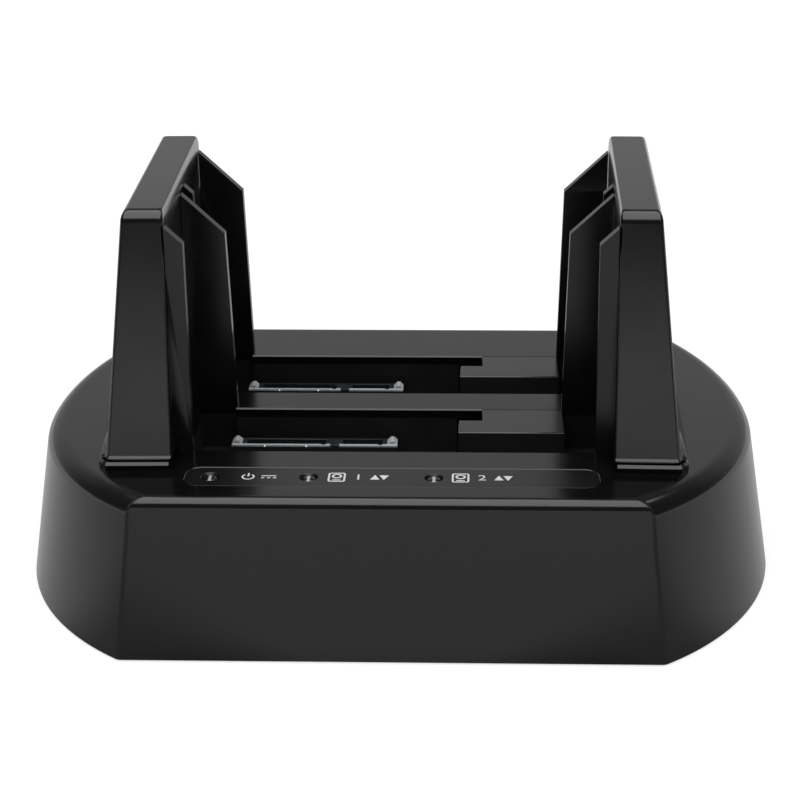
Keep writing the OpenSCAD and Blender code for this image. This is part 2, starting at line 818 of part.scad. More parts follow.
module swept_wire(path) {
  rings = len(path);
  n = spring_sides;
  points = [for (i = [0:rings - 1]) each path_ring(path, i)];
  sides = [for (i = [0:rings - 2], k = [0:n - 1])
    let (a = i * n + k, b = i * n + (k + 1) % n)
    each [[a, b, b + n], [a, b + n, a + n]]];
  caps = concat(
    [for (k = [1:n - 2]) [0, k + 1, k]],
    [for (k = [1:n - 2]) let (e = (rings - 1) * n) [e, e + k, e + k + 1]]
  );
  polyhedron(points, concat(sides, caps));
}

module flap_spring(bay) {
  echo(spring_gap = spring_gap(spring_path()));
  color(steel) translate([0, bay_back(bay) + hinge_back, hinge_z]) swept_wire(spring_path());
}

module front_flap_spring() { flap_spring(0); }
module rear_flap_spring() { flap_spring(1); }

// Drive receptacles

plug_top = deck_h - plug_drop;
post_w = 2.7;
key_wall = 1.3;
cavity_t = 2.9;
cavity_depth = 6;
cavity_end = 0.7;
post_t = 3.2;
power_len = power_pins * pin_pitch + 2 * cavity_end;
signal_len = signal_pins * pin_pitch + 2 * cavity_end;
power_x = plug_x - plug_len / 2 + post_w + key_wall;
signal_x = plug_x + plug_len / 2 - post_w - key_wall - signal_len;
contact_w = 0.7;
contact_t = 0.35;
contact_sink = 0.6;
key_len = 1.1;
key_dep = 1.9;

function plug_y(bay) = bay_back(bay) - plug_back;

// Receptacle: a body with two keyed cavities between pointed guide posts
module drive_receptacle(bay) {
  y = plug_y(bay);
  x0 = plug_x - plug_len / 2;
  x1 = plug_x + plug_len / 2;
  tip = 0.35;
  color(connector_grey) difference() {
    union() {
      box([x0, x1], [y - plug_t / 2, y + plug_t / 2], [board_top, plug_top]);
      for (x = [x0, x1 - post_w])
        along_y(y - post_t / 2, y + post_t / 2) polygon([
          [x, plug_top - cut],
          [x + post_w, plug_top - cut],
          [x + post_w, plug_top],
          [x + post_w / 2 + tip, plug_top + post_h],
          [x + post_w / 2 - tip, plug_top + post_h],
          [x, plug_top]
        ]);
    }
    for (c = [[power_x, power_len], [signal_x, signal_len]]) {
      end = c[0] + c[1];
      cavity_z = [plug_top - cavity_depth, plug_top + cut];
      box([c[0], end], [y - cavity_t / 2, y + cavity_t / 2], cavity_z);
      box([end - key_len, end], [y - key_dep, y], cavity_z);
    }
  }
}

module front_drive_receptacle() { drive_receptacle(0); }
module rear_drive_receptacle() { drive_receptacle(1); }

// Contacts on the back wall of both cavities
module drive_contacts(bay) {
  y = plug_y(bay) + cavity_t / 2;
  color(gold) for (c = [[power_x, power_pins], [signal_x, signal_pins]], i = [0:c[1] - 1]) {
    x = c[0] + cavity_end + pin_pitch * (i + 0.5);
    box([x - contact_w / 2, x + contact_w / 2], [y - contact_t, y],
      [plug_top - cavity_depth, plug_top - contact_sink]);
  }
}

module front_drive_contacts() { drive_contacts(0); }
module rear_drive_contacts() { drive_contacts(1); }

// Circuit board and what it carries

module main_circuit_board() {
  color(board_green) difference() {
    box([board_left, board_right], [board_front, board_back], [board_top - board_t, board_top]);
    for (at = board_holes)
      translate([at[0], at[1], board_top - board_t - cut]) cylinder(d = board_hole_d, h = board_t + 2 * cut);
  }
}

chip_w = 12;
chip_h = 1.2;
chip_inset = [24, 50.9];
chip_at = [board_left, board_front] + chip_inset;

// Bridge chip under the board, with its rows of legs
module bridge_chip() {
  lead_w = 0.3;
  lead_pitch = 1;
  lead_len = 0.9;
  side_leads = 5;
  z1 = board_top - board_t;
  color("#202122") translate([chip_at[0], chip_at[1], 0]) {
    box([-chip_w / 2, chip_w / 2], [-chip_w / 2, chip_w / 2], [z1 - chip_h, z1]);
    for (turn = [0:90:270], i = [-side_leads:side_leads])
      rotate(turn) box([i * lead_pitch - lead_w / 2, i * lead_pitch + lead_w / 2],
        [chip_w / 2 - seat_gap, chip_w / 2 + lead_len], [z1 - lead_w, z1]);
  }
}

// Electrolytic capacitors under the board
module capacitors() {
  can_d = 6.3;
  can_h = 7;
  base_h = 1;
  side_inset = 10;
  back_inset = 23;
  pitch = 10;
  places = [for (i = [0:2]) [board_left + side_inset + i * pitch, board_back - back_inset]];
  color(steel) for (at = places) translate([at[0], at[1], board_top - board_t]) {
    translate([-can_d / 2, -can_d / 2, -base_h]) cube([can_d, can_d, base_h]);
    translate([0, 0, -can_h]) cylinder(d = can_d, h = can_h - base_h + seat_gap);
  }
}

module status_leds() {
  led_w = 3;
  led_dep = 1.6;
  color(lens) for (x = light_x)
    box([x - led_w / 2, x + led_w / 2], [strip_y - led_dep / 2, strip_y + led_dep / 2],
      [board_top, board_top + led_h]);
}

// Light guide from a lamp on the board up to the strip, held by a collar under the deck
module light_guide(i) {
  collar_d = light_d + 2.4;
  collar_h = 1.2;
  z0 = board_top + led_h + slide_gap;
  z1 = deck_h - strip_sink;
  // Radius of the domed end, from its height and the guide's diameter
  dome_r = (pow(light_d / 2, 2) + pow(light_dome, 2)) / (2 * light_dome);
  color(lens) translate([light_x[i], strip_y, 0]) {
    rotate_extrude() polygon(concat(
      [[0, z0], [light_d / 2, z0]],
      arc([0, z1 - dome_r], dome_r, acos(light_d / 2 / dome_r), 90)
    ));
    translate([0, 0, deck_under - collar_h]) cylinder(d = collar_d, h = collar_h);
  }
}

module power_light_guide() { light_guide(0); }
module front_drive_light_guide() { light_guide(1); }
module rear_drive_light_guide() { light_guide(2); }

module indicator_strip() {
  color(inner_black) translate([0, strip_y, deck_h - strip_sink - strip_t]) difference() {
    linear_extrude(strip_t) rounded_bar(strip_len, strip_w, strip_r);
    for (x = light_x) translate([x, 0, 0]) {
      translate([0, 0, -cut]) cylinder(d = light_d + 2 * seat_gap, h = strip_t + 2 * cut);
      translate([0, 0, strip_t - light_rim_dep])
        cylinder(d1 = light_d + 2 * seat_gap, d2 = light_d + 2 * light_rim, h = light_rim_dep + seat_gap);
    }
  }
}

// Rear panel parts

// Socket with a housing-shaped mouth: square below, cut corners above
module usb_socket() {
  corner = 1.8;
  half = usb_mouth_w / 2;
  color(steel) difference() {
    box([usb_x - usb_w / 2, usb_x + usb_w / 2], [port_y - usb_dep, port_y], [board_top, board_top + usb_h]);
    translate([usb_x, 0, board_top + usb_mouth_lift]) along_y(port_y - usb_mouth_dep, port_y + cut) polygon([
      [-half, 0],
      [half, 0],
      [half, usb_mouth_h - corner],
      [half - corner, usb_mouth_h],
      [-half + corner, usb_mouth_h],
      [-half, usb_mouth_h - corner]
    ]);
  }
}

module usb_tongue() {
  tongue_w = 5.6;
  tongue_h = 3.2;
  tongue_len = 8.6;
  tongue_y = port_y - usb_mouth_dep;
  z = board_top + usb_mouth_lift + usb_mouth_h / 2;
  color("#2b4f9a") box([usb_x - tongue_w / 2, usb_x + tongue_w / 2],
    [tongue_y, tongue_y + tongue_len], [z - tongue_h / 2, z + tongue_h / 2]);
}

module dc_jack() {
  color(inner_black) difference() {
    box([jack_x - jack_w / 2, jack_x + jack_w / 2], [port_y - jack_dep, port_y],
      [board_top, board_top + jack_h]);
    translate([jack_x, port_y + cut, port_z]) rotate([90, 0, 0])
      cylinder(d = jack_bore_d, h = jack_bore_dep + cut);
  }
}

module dc_pin() {
  color(steel) translate([jack_x, port_y - jack_pin_sink, port_z]) rotate([90, 0, 0])
    cylinder(d = jack_pin_d, h = jack_bore_dep - jack_pin_sink);
}

module power_switch() {
  bore_dep = stem_len + slide_gap;
  color(inner_black) difference() {
    box([button_x - switch_w / 2, button_x + switch_w / 2], [switch_y - switch_dep, switch_y],
      [board_top, board_top + switch_h]);
    translate([button_x, switch_y + cut, button_z]) rotate([90, 0, 0])
      cylinder(d = stem_d + 2 * slide_gap, h = bore_dep + cut);
  }
}

// Power button: a cap through the back wall, a flange that keeps it in, a stem in the switch
module power_button() {
  proud = 1.8;
  cap_end = back_y_at(button_z) + proud;
  edge = 0.5;
  stem_tip = switch_y - stem_len + button_travel + slide_gap;
  color(inner_black) translate([button_x, 0, button_z]) rotate([-90, 0, 0]) {
    translate([0, 0, flange_y]) cylinder(d = flange_d, h = flange_t);
    translate([0, 0, flange_y]) rotate_extrude() polygon([
      [0, 0],
      [button_d / 2, 0],
      [button_d / 2, cap_end - flange_y - edge],
      [button_d / 2 - edge, cap_end - flange_y],
      [0, cap_end - flange_y]
    ]);
    translate([0, 0, stem_tip]) cylinder(d = stem_d, h = flange_y - stem_tip + seat_gap);
  }
}

// Feet and screws

module rubber_feet() {
  color(rubber) for (sx = [-1, 1], sy = [-1, 1])
    translate([sx * foot_x, sy * foot_y, 0]) rotate_extrude() polygon([
      [0, 0],
      [foot_d / 2 - foot_chamfer, 0],
      [foot_d / 2, foot_chamfer],
      [foot_d / 2, foot_h + foot_seat],
      [0, foot_h + foot_seat]
    ]);
}

module cover_screws() {
  z = foot_h + head_sink - head_h;
  color(steel) for (sx = [-1, 1], sy = [-1, 1])
    screw([sx * cover_boss_x, sy * cover_boss_y], z, cover_t - head_sink + cover_screw_bite);
}

module tower_screws() {
  color(steel) for (sx = [-1, 1], y = tower_screw_y)
    screw([sx * tower_mid_x, y], deck_under - head_h, deck_t + plinth_h + screw_bite);
}

module board_screws() {
  color(steel) for (at = board_holes)
    translate([0, 0, 2 * board_top]) mirror([0, 0, 1])
      screw(at, board_top - head_h, board_t + screw_bite);
}

top_housing();
bottom_cover();
front_bay_well();
rear_bay_well();
left_tower_shell();
right_tower_shell();
left_drive_guide();
right_drive_guide();
front_size_flap();
rear_size_flap();
front_flap_pin();
rear_flap_pin();
front_flap_spring();
rear_flap_spring();
front_drive_receptacle();
rear_drive_receptacle();
front_drive_contacts();
rear_drive_contacts();
main_circuit_board();
bridge_chip();
capacitors();
status_leds();
power_light_guide();
front_drive_light_guide();
rear_drive_light_guide();
indicator_strip();
usb_socket();
usb_tongue();
dc_jack();
dc_pin();
power_switch();
power_button();
rubber_feet();
cover_screws();
tower_screws();
board_screws();
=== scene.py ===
import math
import bmesh
import bpy
from mathutils import Matrix, Vector


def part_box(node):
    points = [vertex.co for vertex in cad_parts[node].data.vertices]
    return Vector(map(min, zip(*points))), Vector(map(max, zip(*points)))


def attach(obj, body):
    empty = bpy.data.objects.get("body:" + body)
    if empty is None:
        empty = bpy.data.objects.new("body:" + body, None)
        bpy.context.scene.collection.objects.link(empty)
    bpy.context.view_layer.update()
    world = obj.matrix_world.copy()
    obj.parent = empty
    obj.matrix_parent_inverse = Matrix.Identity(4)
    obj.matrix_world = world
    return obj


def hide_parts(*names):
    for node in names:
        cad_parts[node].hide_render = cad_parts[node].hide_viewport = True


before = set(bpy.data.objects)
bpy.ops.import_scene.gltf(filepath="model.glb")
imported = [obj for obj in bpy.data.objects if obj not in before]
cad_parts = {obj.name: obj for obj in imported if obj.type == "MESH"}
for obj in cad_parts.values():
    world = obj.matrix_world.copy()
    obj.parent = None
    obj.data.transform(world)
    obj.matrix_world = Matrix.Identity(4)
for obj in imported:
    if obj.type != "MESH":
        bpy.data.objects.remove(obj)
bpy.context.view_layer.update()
mm = 0.001
weld, near = 0.002, 0.01     # mm within which two points are one, or lie at one level
flatAngle = 0.5              # degrees within which two faces are one
noiseSpan = (0.3, 0.7)       # where most values of a noise texture lie
print("frame loaded:", len(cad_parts), "nodes")


# Material helpers

def startMaterial(name):
    material = bpy.data.materials.new(name)
    material.use_nodes = True
    tree = material.node_tree
    coords = tree.nodes.new("ShaderNodeTexCoord").outputs["Object"]
    return material, tree, tree.nodes["Principled BSDF"], coords


def noiseOf(tree, vector, size, detail=3.0, stretch=None):
    # size is the width of one blotch in mm, stretch lengthens it along an axis
    if stretch:
        mapping = tree.nodes.new("ShaderNodeMapping")
        mapping.inputs["Scale"].default_value = stretch
        tree.links.new(vector, mapping.inputs["Vector"])
        vector = mapping.outputs["Vector"]
    noise = tree.nodes.new("ShaderNodeTexNoise")
    noise.inputs["Scale"].default_value = 1 / (size * mm)
    noise.inputs["Detail"].default_value = detail
    tree.links.new(vector, noise.inputs["Vector"])
    return noise.outputs["Fac"]


def rangeOf(tree, source, ends, low=0.0, high=1.0, kind="LINEAR"):
    # runs from low to high while the source runs between the ends
    node = tree.nodes.new("ShaderNodeMapRange")
    node.interpolation_type = kind
    for key, value in zip(("From Min", "From Max", "To Min", "To Max"), (*ends, low, high)):
        node.inputs[key].default_value = value
    tree.links.new(source, node.inputs["Value"])
    return node.outputs["Result"]


def spreadOf(tree, fac, low, high):
    return rangeOf(tree, fac, noiseSpan, low, high)


def mixOf(tree, fac, first, second):
    mix = tree.nodes.new("ShaderNodeMix")
    mix.data_type = "RGBA"
    colourA, colourB = mix.inputs[6], mix.inputs[7]
    colourA.default_value = (*first, 1)
    if isinstance(second, bpy.types.NodeSocket):
        tree.links.new(second, colourB)
    else:
        colourB.default_value = (*second, 1)
    tree.links.new(fac, mix.inputs["Factor"])
    return mix.outputs[2]


def addBump(tree, shader, height, depth):
    bump = tree.nodes.new("ShaderNodeBump")
    bump.inputs["Distance"].default_value = depth * mm
    tree.links.new(height, bump.inputs["Height"])
    tree.links.new(bump.outputs["Normal"], shader.inputs["Normal"])


def mouldedPlastic(name, look):
    # fine spark texture over a slightly cloudy colour
    material, tree, shader, coords = startMaterial(name)
    cloud = noiseOf(tree, coords, look["cloud"])
    grain = noiseOf(tree, coords, look["grain"], 2.0)
    tree.links.new(mixOf(tree, cloud, look["colour"], look["tint"]), shader.inputs["Base Color"])
    tree.links.new(spreadOf(tree, cloud, *look["rough"]), shader.inputs["Roughness"])
    shader.inputs["Specular IOR Level"].default_value = look["gloss"]
    addBump(tree, shader, grain, look["depth"])
    return material


def stepOf(tree, value, level, fade):
    # 0 below the level, 1 above it, both in mm
    return rangeOf(tree, value, ((level - fade) * mm, (level + fade) * mm))


def mathOf(tree, operation, first, second):
    node = tree.nodes.new("ShaderNodeMath")
    node.operation = operation
    for socket, value in zip(node.inputs, (first, second)):
        if isinstance(value, bpy.types.NodeSocket):
            tree.links.new(value, socket)
        else:
            socket.default_value = value
    return node.outputs[0]


def rampOf(tree, source, ends, low, high):
    return rangeOf(tree, source, ends, low, high, "SMOOTHSTEP")


def splitOf(tree, vector):
    split = tree.nodes.new("ShaderNodeSeparateXYZ")
    tree.links.new(vector, split.inputs["Vector"])
    return split.outputs


def receptacleWithPaintedShade(name, look, low, high):
    # pale posts and a pale front edge that stops between the two rows; the rest of the body is painted dark,
    # a painted shade of the deep well it stands in
    material, tree, shader, coords = startMaterial(name)
    cloud = noiseOf(tree, coords, look["cloud"])
    across, deep, up = splitOf(tree, coords)
    top, fade, length = high.z - look["post"], look["fade"], high.x - low.x
    edge = mathOf(tree, "SUBTRACT", 1.0, stepOf(tree, deep, low.y + look["reach"], fade))
    edge = mathOf(tree, "MULTIPLY", edge, stepOf(tree, up, top - look["band"], fade))
    gapLow, gapHigh = (low.x + length * share for share in look["gap"])
    outside = mathOf(tree, "SUBTRACT", 1.0, stepOf(tree, across, gapLow, fade))
    outside = mathOf(tree, "MAXIMUM", outside, stepOf(tree, across, gapHigh, fade))
    edge = mathOf(tree, "MULTIPLY", edge, outside)
    pale = mathOf(tree, "MAXIMUM", edge, stepOf(tree, up, top + fade, fade))
    upper = mixOf(tree, cloud, look["colour"], look["tint"])
    # all but the pale parts takes the painted well shade
    tree.links.new(mixOf(tree, pale, look["paintedWellShade"], upper), shader.inputs["Base Color"])
    tree.links.new(spreadOf(tree, cloud, *look["rough"]), shader.inputs["Roughness"])
    shader.inputs["Specular IOR Level"].default_value = look["gloss"]
    addBump(tree, shader, noiseOf(tree, coords, look["grain"], 2.0), look["depth"])
    return material


def smokedLens(name, look, centre):
    # dark lens with a pale band painted through its middle, a painted highlight standing in for the glint on
    # its dome
    material, tree, shader, coords = startMaterial(name)
    middle = tree.nodes.new("ShaderNodeMapping")
    middle.inputs["Location"].default_value = (-centre.x, -centre.y, 0)
    tree.links.new(coords, middle.inputs["Vector"])
    aside = mathOf(tree, "ABSOLUTE", splitOf(tree, middle.outputs["Vector"])["X"], 0.0)
    # painted glint: pale down the middle of the lens, dark to the sides
    paintedGlint = rampOf(tree, aside, [end * mm for end in look["paintedGlint"]], 1, 0)
    pale = mixOf(tree, noiseOf(tree, coords, look["cloud"]), look["colour"], look["tint"])
    tree.links.new(mixOf(tree, paintedGlint, look["smoke"], pale), shader.inputs["Base Color"])
    grain = noiseOf(tree, coords, look["grain"])
    tree.links.new(spreadOf(tree, grain, *look["rough"]), shader.inputs["Roughness"])
    return material


def drawnMetal(name, look):
    # long fine lines from drawing or brushing
    material, tree, shader, coords = startMaterial(name)
    lines = noiseOf(tree, coords, look["line"], 4.0, look["stretch"])
    cloud = noiseOf(tree, coords, look["cloud"])
    tree.links.new(mixOf(tree, cloud, look["colour"], look["tint"]), shader.inputs["Base Color"])
    tree.links.new(spreadOf(tree, lines, *look["rough"]), shader.inputs["Roughness"])
    shader.inputs["Metallic"].default_value = 1.0
    addBump(tree, shader, lines, look["depth"])
    return material


def solderMask(name, look):
    # green mask with darker tracks and small bare pads
    material, tree, shader, coords = startMaterial(name)
    tracks = tree.nodes.new("ShaderNodeTexBrick")
    tracks.inputs["Scale"].default_value = 1 / (look["track"] * mm)
    tracks.inputs["Mortar Size"].default_value = look["trackGap"]
    tracks.inputs["Color1"].default_value = (*look["colour"], 1)
    tracks.inputs["Color2"].default_value = (*look["tint"], 1)
    tracks.inputs["Mortar"].default_value = (*look["trackColour"], 1)
    tree.links.new(coords, tracks.inputs["Vector"])
    pads = tree.nodes.new("ShaderNodeTexVoronoi")
    pads.inputs["Scale"].default_value = 1 / (look["padPitch"] * mm)
    tree.links.new(coords, pads.inputs["Vector"])
    isMask = mathOf(tree, "GREATER_THAN", pads.outputs["Distance"], look["padSize"])
    mask = mixOf(tree, isMask, look["pad"], tracks.outputs["Color"])
    cloud = noiseOf(tree, coords, look["cloud"])
    tree.links.new(mask, shader.inputs["Base Color"])
    tree.links.new(spreadOf(tree, cloud, *look["rough"]), shader.inputs["Roughness"])
    addBump(tree, shader, tracks.outputs["Fac"], look["depth"])
    return material


satinBlack = mouldedPlastic("satinBlack", {
    "colour": (0.0022, 0.0021, 0.002), "tint": (0.0034, 0.0033, 0.0033), "cloud": 14, "grain": 0.28,
    "rough": (0.15, 0.19), "gloss": 0.5, "depth": 0.004})
flapBlack = mouldedPlastic("flapBlack", {
    "colour": (0.014, 0.0137, 0.0133), "tint": (0.018, 0.0176, 0.0172), "cloud": 14, "grain": 0.28,
    "rough": (0.16, 0.2), "gloss": 0.5, "depth": 0.004})
guideBlack = mouldedPlastic("guideBlack", {
    "colour": (0.0034, 0.0033, 0.0032), "tint": (0.0048, 0.0047, 0.0046), "cloud": 11, "grain": 0.32,
    "rough": (0.22, 0.28), "gloss": 0.45, "depth": 0.006})
wellBlack = mouldedPlastic("wellBlack", {
    "colour": (0.004, 0.004, 0.004), "tint": (0.006, 0.006, 0.006), "cloud": 10, "grain": 0.35,
    "rough": (0.5, 0.6), "gloss": 0.35, "depth": 0.012})
stripFilm = mouldedPlastic("stripFilm", {
    "colour": (0.004, 0.004, 0.0044), "tint": (0.0055, 0.0055, 0.006), "cloud": 20, "grain": 0.18,
    "rough": (0.26, 0.31), "gloss": 0.45, "depth": 0.003})
chipEpoxy = mouldedPlastic("chipEpoxy", {
    "colour": (0.014, 0.014, 0.015), "tint": (0.022, 0.022, 0.023), "cloud": 3, "grain": 0.15,
    "rough": (0.45, 0.6), "gloss": 0.4, "depth": 0.006})
tongueBlue = mouldedPlastic("tongueBlue", {
    "colour": (0.02, 0.085, 0.36), "tint": (0.028, 0.11, 0.44), "cloud": 3, "grain": 0.2,
    "rough": (0.35, 0.45), "gloss": 0.5, "depth": 0.005})
footRubber = mouldedPlastic("footRubber", {
    "colour": (0.011, 0.011, 0.011), "tint": (0.018, 0.018, 0.018), "cloud": 3, "grain": 0.5,
    "rough": (0.72, 0.86), "gloss": 0.25, "depth": 0.03})
lampWhite = mouldedPlastic("lampWhite", {
    "colour": (0.62, 0.62, 0.58), "tint": (0.7, 0.7, 0.66), "cloud": 1, "grain": 0.3,
    "rough": (0.2, 0.3), "gloss": 0.5, "depth": 0.002})
printWhite = mouldedPlastic("printWhite", {
    "colour": (0.5, 0.5, 0.49), "tint": (0.58, 0.58, 0.57), "cloud": 2, "grain": 0.12,
    "rough": (0.5, 0.62), "gloss": 0.3, "depth": 0.002})
platedSteel = drawnMetal("platedSteel", {
    "colour": (0.55, 0.55, 0.56), "tint": (0.66, 0.66, 0.67), "cloud": 5, "line": 0.5,
    "stretch": (0.06, 1.0, 1.0), "rough": (0.22, 0.36), "depth": 0.002})
contactGold = drawnMetal("contactGold", {
    "colour": (0.74, 0.52, 0.2), "tint": (0.84, 0.62, 0.28), "cloud": 1.5, "line": 0.2,
    "stretch": (1.0, 1.0, 0.1), "rough": (0.18, 0.3), "depth": 0.001})
canAluminium = drawnMetal("canAluminium", {
    "colour": (0.7, 0.71, 0.72), "tint": (0.79, 0.8, 0.81), "cloud": 4, "line": 0.4,
    "stretch": (1.0, 1.0, 0.05), "rough": (0.25, 0.38), "depth": 0.002})
boardGreen = solderMask("boardGreen", {
    "colour": (0.012, 0.1, 0.035), "tint": (0.016, 0.125, 0.045), "trackColour": (0.008, 0.06, 0.022),
    "pad": (0.7, 0.62, 0.42), "track": 3.2, "trackGap": 0.06, "padPitch": 5.5, "padSize": 0.13,
    "cloud": 6, "rough": (0.22, 0.34), "depth": 0.03})
print("materials made:", len(bpy.data.materials))


# Mesh helpers

def objectFrom(name, bm):
    mesh = bpy.data.meshes.new(name)
    bm.to_mesh(mesh)
    bm.free()
    obj = bpy.data.objects.new(name, mesh)
    bpy.context.scene.collection.objects.link(obj)
    return obj


def bakeModifiers(obj):
    # the evaluated shape becomes the object's own plain mesh
    graph = bpy.context.evaluated_depsgraph_get()
    mesh = bpy.data.meshes.new_from_object(obj.evaluated_get(graph))
    old = obj.data
    obj.modifiers.clear()
    obj.data = mesh
    bpy.data.meshes.remove(old)


def cutWith(obj, cutters, operation="DIFFERENCE"):
    for cutter in cutters:
        cut = obj.modifiers.new("cut", "BOOLEAN")
        cut.operation = operation
        cut.solver = "EXACT"
        cut.object = cutter
    bakeModifiers(obj)
    for cutter in cutters:
        bpy.data.objects.remove(cutter)


def softenEdges(obj, width, steps=2, angle=30):
    bevel = obj.modifiers.new("edges", "BEVEL")
    bevel.width = width * mm
    bevel.segments = steps
    bevel.limit_method = "ANGLE"
    bevel.angle_limit = math.radians(angle)
    bakeModifiers(obj)


def smoothFaces(obj, angle=40):
    # flat faces keep their flat shading, rounded edges carry the turn
    obj.data.shade_smooth()
    obj.data.set_sharp_from_angle(angle=math.radians(angle))
    weigh = obj.modifiers.new("normals", "WEIGHTED_NORMAL")
    weigh.keep_sharp = True
    bakeModifiers(obj)


def finishPiece(obj, material, slot, body, *nodes):
    obj.data.materials.clear()
    obj.data.materials.append(material)
    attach(obj, body)
    if nodes:
        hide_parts(*nodes)
    return obj


def cadCopy(name, node):
    # merged copy of a node's triangles, with its flat faces made whole
    bm = bmesh.new()
    bm.from_mesh(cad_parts[node].data)
    bmesh.ops.remove_doubles(bm, verts=bm.verts, dist=weld * mm)
    bmesh.ops.dissolve_limit(bm, angle_limit=math.radians(flatAngle), verts=bm.verts, edges=bm.edges)
    return objectFrom(name, bm)


def softCopy(name, node, edge, material, slot, body="dock", steps=2, angle=30):
    obj = cadCopy(name, node)
    softenEdges(obj, edge, steps, angle)
    smoothFaces(obj)
    return finishPiece(obj, material, slot, body, node)


def boxOf(node):
    # lowest and highest corner of a node, in mm
    return [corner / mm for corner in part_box(node)]


def boxCentre(node):
    low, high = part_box(node)
    return (low + high) / 2


def loft(bm, rings):
    # closed skin through rings of equal point counts, given in mm from the bottom up
    rows = [[bm.verts.new(Vector(p) * mm) for p in ring] for ring in rings]
    count = len(rows[0])
    for below, above in zip(rows, rows[1:]):
        for i in range(count):
            j = (i + 1) % count
            bm.faces.new((below[i], below[j], above[j], above[i]))
    bm.faces.new(rows[0][::-1])
    bm.faces.new(rows[-1])
    bmesh.ops.recalc_face_normals(bm, faces=bm.faces)


def addPrism(bm, outline, low, high, axis="Z"):
    # outline in mm, extruded along the axis; its two numbers are the other two axes in order
    order = {"Z": (0, 1, 2), "Y": (0, 2, 1), "X": (2, 0, 1)}[axis]
    loft(bm, [[[(*point, level)[i] for i in order] for point in outline] for level in (low, high)])


def prism(name, outline, low, high, axis="Z"):
    bm = bmesh.new()
    addPrism(bm, outline, low, high, axis)
    return objectFrom(name, bm)


def addRing(bm, outer, inner, low, high):
    # flat ring between two outlines of equal point counts
    rows = [[bm.verts.new(Vector((*p, level)) * mm) for p in outline]
            for outline, level in ((outer, low), (outer, high), (inner, high), (inner, low))]
    count = len(outer)
    for one, two in zip(rows, rows[1:] + rows[:1]):
        for i in range(count):
            j = (i + 1) % count
            bm.faces.new((one[i], one[j], two[j], two[i]))
    bmesh.ops.recalc_face_normals(bm, faces=bm.faces)


def addLathe(bm, profile, steps=48):
    # radius and height pairs in mm, from the axis at one end to the axis at the other
    rows = []
    for radius, level in profile:
        around = circleOutline(0, 0, radius, steps) if radius else [(0, 0)]
        rows.append([bm.verts.new(Vector((x, y, level)) * mm) for x, y in around])
    for below, above in zip(rows, rows[1:]):
        for i in range(steps):
            j = i + 1
            ends = ((below, i), (below, j), (above, j), (above, i))
            corners = [row[k % len(row)] for row, k in ends]
            bm.faces.new(list(dict.fromkeys(corners)))
    bmesh.ops.recalc_face_normals(bm, faces=bm.faces)


def solidBoxes(node):
    # low and high corners of each separate solid in a node, in mm
    bm = bmesh.new()
    bm.from_mesh(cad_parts[node].data)
    bmesh.ops.remove_doubles(bm, verts=bm.verts, dist=weld * mm)
    left, boxes = set(bm.verts), []
    while left:
        patch = [left.pop()]
        for vert in patch:
            for edge in vert.link_edges:
                other = edge.other_vert(vert)
                if other in left:
                    left.remove(other)
                    patch.append(other)
        spots = [vert.co / mm for vert in patch]
        boxes.append((Vector(map(min, zip(*spots))), Vector(map(max, zip(*spots)))))
    bm.free()
    return sorted(boxes, key=lambda box: tuple(round(c, 2) for c in box[0]))


def standingOn(boxes, top=False):
    # middle of the foot of each box, or of its top
    return [((low.x + high.x) / 2, (low.y + high.y) / 2, high.z if top else low.z) for low, high in boxes]


def circleOutline(x, y, radius, steps=48):
    turn = 2 * math.pi / steps
    return [(x + radius * math.cos(i * turn), y + radius * math.sin(i * turn)) for i in range(steps)]


def barOutline(x0, x1, y0, y1, corners, steps=6):
    # rectangle with its own radius at each corner, from the front left round to the back left
    centres = ((x0, y0, 180, 1, 1), (x1, y0, 270, -1, 1), (x1, y1, 0, -1, -1), (x0, y1, 90, 1, -1))
    points = []
    for (x, y, start, towardsX, towardsY), radius in zip(centres, corners):
        for i in range(steps + 1):
            angle = math.radians(start + 90 * i / steps)
            points.append((x + towardsX * radius + radius * math.cos(angle),
                           y + towardsY * radius + radius * math.sin(angle)))
    return points


# Base shell

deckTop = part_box("front_size_flap")[1].z / mm
baseLow, baseHigh = boxOf("top_housing")
baseLook = {
    "endRadius": 76.6, "endDraw": 6.8, "frontDraw": 5.0, "backDraw": 3.2, "backFullness": 33.0,
    "shoulder": 4.8, "rim": 2.7, "innerRim": 0.5, "corner": 2.6, "wall": 2.4, "deck": 2.5, "hem": 0.5,
    "drop": 0.35, "slotEdge": 0.35, "deckBand": 0.5,
    "lineSteps": 10, "cornerSteps": 8, "endSteps": 44, "edgeSteps": 8, "wallSteps": 5}


def baseQuarter(end, face, fullness=0.0):
    # one quarter of the plan: half a flat face, a filleted corner, half a round end
    look = baseLook
    (endRadius, endLevel), (depth, level) = end, face
    endRadius += fullness
    middle, corner = baseHigh.x - look["endRadius"] - fullness, look["corner"]
    reach = math.sqrt((endRadius - corner) ** 2 - (depth - corner) ** 2)
    turn = math.atan2(depth - corner, reach)
    points = [((middle + reach) * i / look["lineSteps"], depth, level) for i in range(look["lineSteps"])]
    for i in range(look["cornerSteps"]):
        share = i / look["cornerSteps"]
        angle = math.pi / 2 + (turn - math.pi / 2) * share
        ease = share * share * (3 - 2 * share)
        points.append((middle + reach + corner * math.cos(angle), depth - corner + corner * math.sin(angle),
                       level + (endLevel - level) * ease))
    for i in range(look["endSteps"] + 1):
        angle = turn * (1 - i / look["endSteps"])
        points.append((middle + endRadius * math.cos(angle), endRadius * math.sin(angle), endLevel))
    return points


def baseRing(end, front, back):
    right = [(x, -y, z) for x, y, z in baseQuarter(end, front)]
    right += baseQuarter(end, back, baseLook["backFullness"])[-2::-1]
    return right + [(-x, y, z) for x, y, z in right[-2:0:-1]]


def drawnIn(size, draw, level):
    return size - draw * (level - baseLow.z) / (deckTop - baseLow.z)


